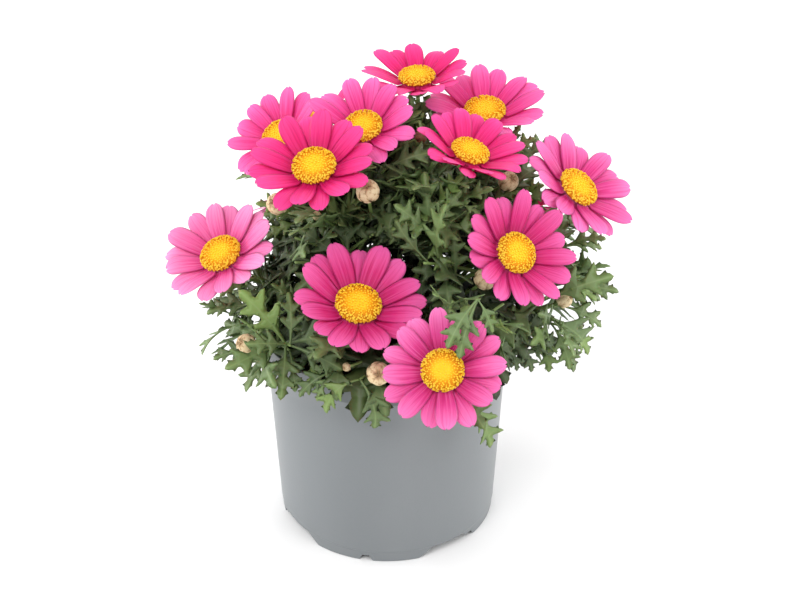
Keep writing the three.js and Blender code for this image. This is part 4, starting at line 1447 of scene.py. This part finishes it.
def leaf_material():
    """Grey-green that differs from leaf to leaf, with a pale vein, a fresh tip, and painted shade that
    darkens the leaves deep inside the mound.
    """
    nodes = Nodes("leaf_green", 0.5)
    across, along = nodes.uv("along")
    pick, inner_shade = nodes.uv("pick")
    patches = nodes.noise(nodes.stretched(), 90.0)
    greens = [(0.0, (0.26, 0.35, 0.19)), (0.45, (0.36, 0.45, 0.26)),
              (0.8, (0.43, 0.53, 0.31)), (1.0, (0.46, 0.57, 0.25))]
    patchy = nodes.math("MULTIPLY", patches, 0.5)
    mottled = nodes.blend("MIX", patchy, nodes.ramp(pick, greens), (0.46, 0.54, 0.35))
    vein = nodes.ramp(nodes.off_middle(across), [(0.0, 0.55), (0.035, 0)])
    veined = nodes.blend("MIX", vein, mottled, (0.51, 0.59, 0.37))
    near_tip = nodes.math("MULTIPLY", nodes.math("POWER", along, 3.0), 0.28)
    tips = nodes.blend("MIX", near_tip, veined, (0.52, 0.63, 0.30))
    # Painted shade: leaves deep inside the mound are mixed towards dark green
    nodes.colour(nodes.blend("MIX", nodes.math("MULTIPLY", inner_shade, 0.9), tips, (0.12, 0.16, 0.10)))
    nodes.bump(nodes.noise(nodes.stretched(), 700.0), 0.35, 0.0004)
    nodes.set("Subsurface Weight", 0.05)
    nodes.set("Subsurface Scale", 0.001)
    return nodes.material


def stem_material():
    """Green that is browner at the foot of a stem, with fine specks along it."""
    nodes = Nodes("stem_green", 0.5)
    _, along = nodes.uv("along")
    greens = [(0.0, (0.36, 0.40, 0.22)), (0.3, (0.42, 0.52, 0.28)), (1.0, (0.52, 0.62, 0.36))]
    base = nodes.ramp(along, greens)
    specks = nodes.noise(nodes.stretched((1, 1, 0.3)), 500.0)
    shade = nodes.math("MULTIPLY", specks, 0.5)
    nodes.colour(nodes.blend("MULTIPLY", shade, base, (0.75, 0.78, 0.66)))
    nodes.bump(specks, 0.3, 0.0003)
    return nodes.material


def bract_material():
    """Green bracts with a thin dry margin."""
    nodes = Nodes("bract_green", 0.6)
    across, along = nodes.uv("along")
    side = nodes.math("MULTIPLY", nodes.off_middle(across), 2.0)
    edge = nodes.math("MAXIMUM", side, nodes.math("POWER", along, 3.0))
    greens = [(0.0, (0.38, 0.48, 0.27)), (0.7, (0.46, 0.55, 0.32)), (0.92, (0.62, 0.58, 0.38))]
    nodes.colour(nodes.ramp(edge, greens))
    nodes.bump(nodes.noise(nodes.strip_vector(20.0, 2.0), 1.0), 0.3, 0.0003)
    return nodes.material


# Bracts of a bud: name, body, streak and margin as sRGB colours
CREAM_BUD = ("bud_cream", (0.92, 0.84, 0.70), (0.80, 0.74, 0.52), (0.80, 0.64, 0.49))
RED_BUD = ("bud_red", (0.52, 0.26, 0.20), (0.34, 0.30, 0.14), (0.36, 0.10, 0.10))


def bud_material(name, body, streak, margin):
    """Bracts that are streaked along their length and have a thin brown margin."""
    nodes = Nodes(name, 0.55)
    across, along = nodes.uv("along")
    pick, _ = nodes.uv("pick")
    side = nodes.math("MULTIPLY", nodes.off_middle(across), 2.0)
    edge = nodes.math("MAXIMUM", nodes.math("POWER", side, 2.0), nodes.math("POWER", along, 3.0))
    rim = tuple(0.78 * part for part in margin)
    base = nodes.ramp(edge, [(0.0, body), (0.55, body), (0.85, margin), (1.0, rim)])
    streaks = nodes.noise(nodes.strip_vector(14.0, 1.5), 1.0)
    tinted = nodes.blend("MIX", nodes.math("MULTIPLY", streaks, 0.5), base, streak)
    shade = nodes.math("MULTIPLY", pick, 0.4)
    nodes.colour(nodes.blend("MULTIPLY", shade, tinted, (0.9, 0.82, 0.72)))
    nodes.bump(streaks, 0.4, 0.0003)
    return nodes.material


def pot_material():
    """Satin grey plastic with a fine grain."""
    nodes = Nodes("pot_grey", 0.36)
    broad = nodes.noise(nodes.stretched((1, 1, 0.25)), 14.0, detail=2.0)
    fine = nodes.noise(nodes.stretched(), 900.0, detail=3.0)
    base = nodes.ramp(broad, [(0.3, (0.458, 0.477, 0.488)), (0.7, (0.488, 0.503, 0.512))])
    grain = nodes.math("MULTIPLY", fine, 0.18)
    nodes.colour(nodes.blend("MULTIPLY", grain, base, (0.86, 0.87, 0.88)))
    nodes.bump(nodes.math("ADD", fine, nodes.math("MULTIPLY", broad, 2.0)), 0.10, 0.0003)
    nodes.set("Specular IOR Level", 0.5)
    return nodes.material


def soil_material():
    """Dark compost with paler crumbs."""
    nodes = Nodes("soil_brown", 0.95)
    pick, _ = nodes.uv("pick")
    grain = nodes.noise(nodes.stretched(), 420.0, detail=6.0)
    browns = [(0.3, (0.10, 0.07, 0.05)), (0.55, (0.20, 0.14, 0.10)), (0.75, (0.33, 0.25, 0.18))]
    base = nodes.ramp(grain, browns)
    nodes.colour(nodes.blend("MIX", nodes.math("MULTIPLY", pick, 0.3), base, (0.27, 0.20, 0.14)))
    nodes.bump(grain, 0.8, 0.0015)
    return nodes.material


# Scene

def grow_stems(blooms):
    """By name, a stem for each bloom and the leafy shoots that carry none."""
    stems = []
    for bloom in blooms:
        end = bloom.origin - bloom.facing * CUP_DEPTH * 0.9
        stems.append(Stem(bloom.number, bloom.name, end, bloom.facing, HIGHEST_ON_STEM))
    for number, (name, end, azimuth, elevation) in enumerate(SHOOTS, len(blooms) + 1):
        facing = direction(azimuth, elevation)
        stems.append(Stem(number, name, np.array(end, float), facing, HIGHEST_ON_SHOOT))
    return {stem.name: stem for stem in stems}


def dress_blooms(blooms, stems):
    """Rays and florets of each bloom. Its cup of bracts goes with its stem."""
    petal_looks = {tone: petal_material(tone) for tone in PETAL_TONES}
    floret_look = floret_material()
    for bloom in blooms:
        rays = petals_piece(bloom, petal_looks[bloom.tone])
        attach(rays, "root")
        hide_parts(f"petals_{bloom.name}")
        florets = florets_piece(bloom, floret_look)
        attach(florets, "root")
        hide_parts(f"disc_{bloom.name}")
        add_cup(stems[bloom.name].batch, bloom)


def place_buds(stems):
    """Each bud as its name, middle, facing, width and stem. Side stalks go with their stems."""
    buds = []
    for name, middle, width, stem_name, share in SIDE_BUDS:
        stem = stems[stem_name]
        path, facing = stalk_path(stem.bend, share, middle, width)
        radii = np.linspace(STALK_RADIUS, 0.75, len(path))
        stem.batch.add(*tube(path, radii, 10, RIBS), 0.4, STEM_SLOT)
        buds.append((name, np.array(middle, float), facing, width, stem))
    for name, width, stem_name in END_BUDS:
        stem = stems[stem_name]
        middle = stem.bend.at(1.0) + stem.facing * bud_seat(width)
        buds.append((name, middle, stem.facing, width, stem))
    return buds


def dress_buds(buds, bud_look):
    """The bracts of each bud. Its small green cup goes with its stem."""
    for number, (name, middle, facing, width, stem) in enumerate(buds):
        add_bud_cup(stem.batch, number, middle, facing, width)
        batch = Batch()
        add_bud(batch, number + 1, middle, facing, width)
        bud = batch.make(f"bracts_{name}", [bud_look])
        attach(bud, "root")
        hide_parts(f"bud_{name}")


def dress_stems(stems, nodes, templates, greens):
    """Each stem as one piece, with its leaves, stalks and cups."""
    for stem in stems:
        kept = kept_leaves(stem, nodes[f"stem_{stem.name}"])
        dress_stem(stem, kept, templates)
        piece = stem.batch.make(f"greens_{stem.name}", greens)
        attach(piece, "root")
        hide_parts(f"stem_{stem.name}")


def fill_mound(stems, crowd, templates, greens, bud_look):
    """What the solids leave out: side shoots, single leaves and the smallest buds."""
    for dome, (name, _, _, _) in enumerate(DOMES):
        fill = fill_dome(dome, stems, crowd, templates).make(f"side_shoots_{name}", greens)
        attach(fill, "root")
    sprigs = sprigs_batch(stems, templates).make("sprigs", greens)
    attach(sprigs, "root")
    looks = [bud_look, bud_material(*RED_BUD), greens[STEM_SLOT]]
    small = small_buds_batch(stems).make("small_buds", looks)
    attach(small, "root")


def build_plant(nodes):
    """The blooms, the buds, the stems, and what fills the mound between them."""
    blooms = [Bloom(number, *row) for number, row in enumerate(BLOOMS, 1)]
    by_name = grow_stems(blooms)
    stems = list(by_name.values())
    templates = [leaf_template(variant) for variant in range(LEAF_VARIANTS)]
    greens = [leaf_material(), stem_material(), bract_material()]
    bud_look = bud_material(*CREAM_BUD)
    dress_blooms(blooms, by_name)
    buds = place_buds(by_name)
    dress_buds(buds, bud_look)
    dress_stems(stems, nodes, templates, greens)
    crowd = Crowd(blooms, [(middle, width) for _, middle, _, width, _ in buds])
    fill_mound(stems, crowd, templates, greens, bud_look)


def build_pot():
    """The pot and its compost."""
    pot = pot_piece(pot_material())
    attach(pot, "root")
    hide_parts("pot")
    soil = soil_piece(soil_material())
    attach(soil, "root")
    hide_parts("soil")


# The photograph's view: lens and sensor in millimetres, place in metres, angles in degrees
LENS = 63
SENSOR_WIDTH = 36
VIEW_FROM = (0.0, -0.579, 0.456)
LOOKS_DOWN = 30.4
LOOKS_RIGHT = 0.64
# Half the width of the floor, and each lamp: name, place, width (in metres) and power
FLOOR_REACH = 6.0
LAMPS = [
    ("key", (-0.5, -1.1, 1.5), 0.9, 15),
    ("fill", (1.2, -0.7, 0.8), 1.0, 6),
    ("left_edge", (-1.2, 0.25, 0.35), 0.8, 9),
    ("right_edge", (1.2, 0.35, 0.35), 0.7, 6),
    ("back", (0.2, 1.2, 1.2), 1.0, 8),
]
LAMPS_AIM_AT = Vector((0.0, 0.0, 0.12))
SKY_STRENGTH = 0.75


def studio_floor():
    """The pale ground that the photograph is taken on."""
    mesh = bpy.data.meshes.new("floor")
    corners = [(x * FLOOR_REACH, y * FLOOR_REACH, 0) for x, y in ((-1, -1), (1, -1), (1, 1), (-1, 1))]
    mesh.from_pydata(corners, [], [(0, 1, 2, 3)])
    floor = bpy.data.objects.new("floor", mesh)
    bpy.context.scene.collection.objects.link(floor)
    nodes = Nodes("floor_pale", 0.9)
    grain = nodes.noise(nodes.stretched(), 3.0)
    nodes.colour(nodes.ramp(grain, [(0.3, (0.955, 0.955, 0.955)), (0.7, (0.965, 0.965, 0.965))]))
    mesh.materials.append(nodes.material)


def studio_lamp(name, place, width, power):
    light = bpy.data.lights.new(name, "AREA")
    light.shape = "DISK"
    light.size = width
    light.energy = power
    lamp = bpy.data.objects.new(name, light)
    lamp.location = place
    lamp.rotation_euler = (LAMPS_AIM_AT - Vector(place)).to_track_quat("-Z", "Y").to_euler()
    bpy.context.scene.collection.objects.link(lamp)


def studio_sky():
    world = bpy.data.worlds.new("studio")
    world.use_nodes = True
    background = world.node_tree.nodes["Background"]
    background.inputs["Color"].default_value = (1.0, 1.0, 1.0, 1.0)
    background.inputs["Strength"].default_value = SKY_STRENGTH
    bpy.context.scene.world = world


def studio_camera():
    data = bpy.data.cameras.new("camera")
    data.lens = LENS
    data.sensor_width = SENSOR_WIDTH
    data.clip_start = 0.01
    camera = bpy.data.objects.new("camera", data)
    camera.location = VIEW_FROM
    camera.rotation_euler = (math.radians(90 - LOOKS_DOWN), 0.0, math.radians(-LOOKS_RIGHT))
    bpy.context.scene.collection.objects.link(camera)
    bpy.context.scene.camera = camera


def main():
    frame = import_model()
    studio_camera()
    build_pot()
    build_plant(frame["nodes"])
    studio_floor()
    for row in LAMPS:
        studio_lamp(*row)
    studio_sky()
    bpy.context.scene.view_settings.view_transform = "Standard"


main()
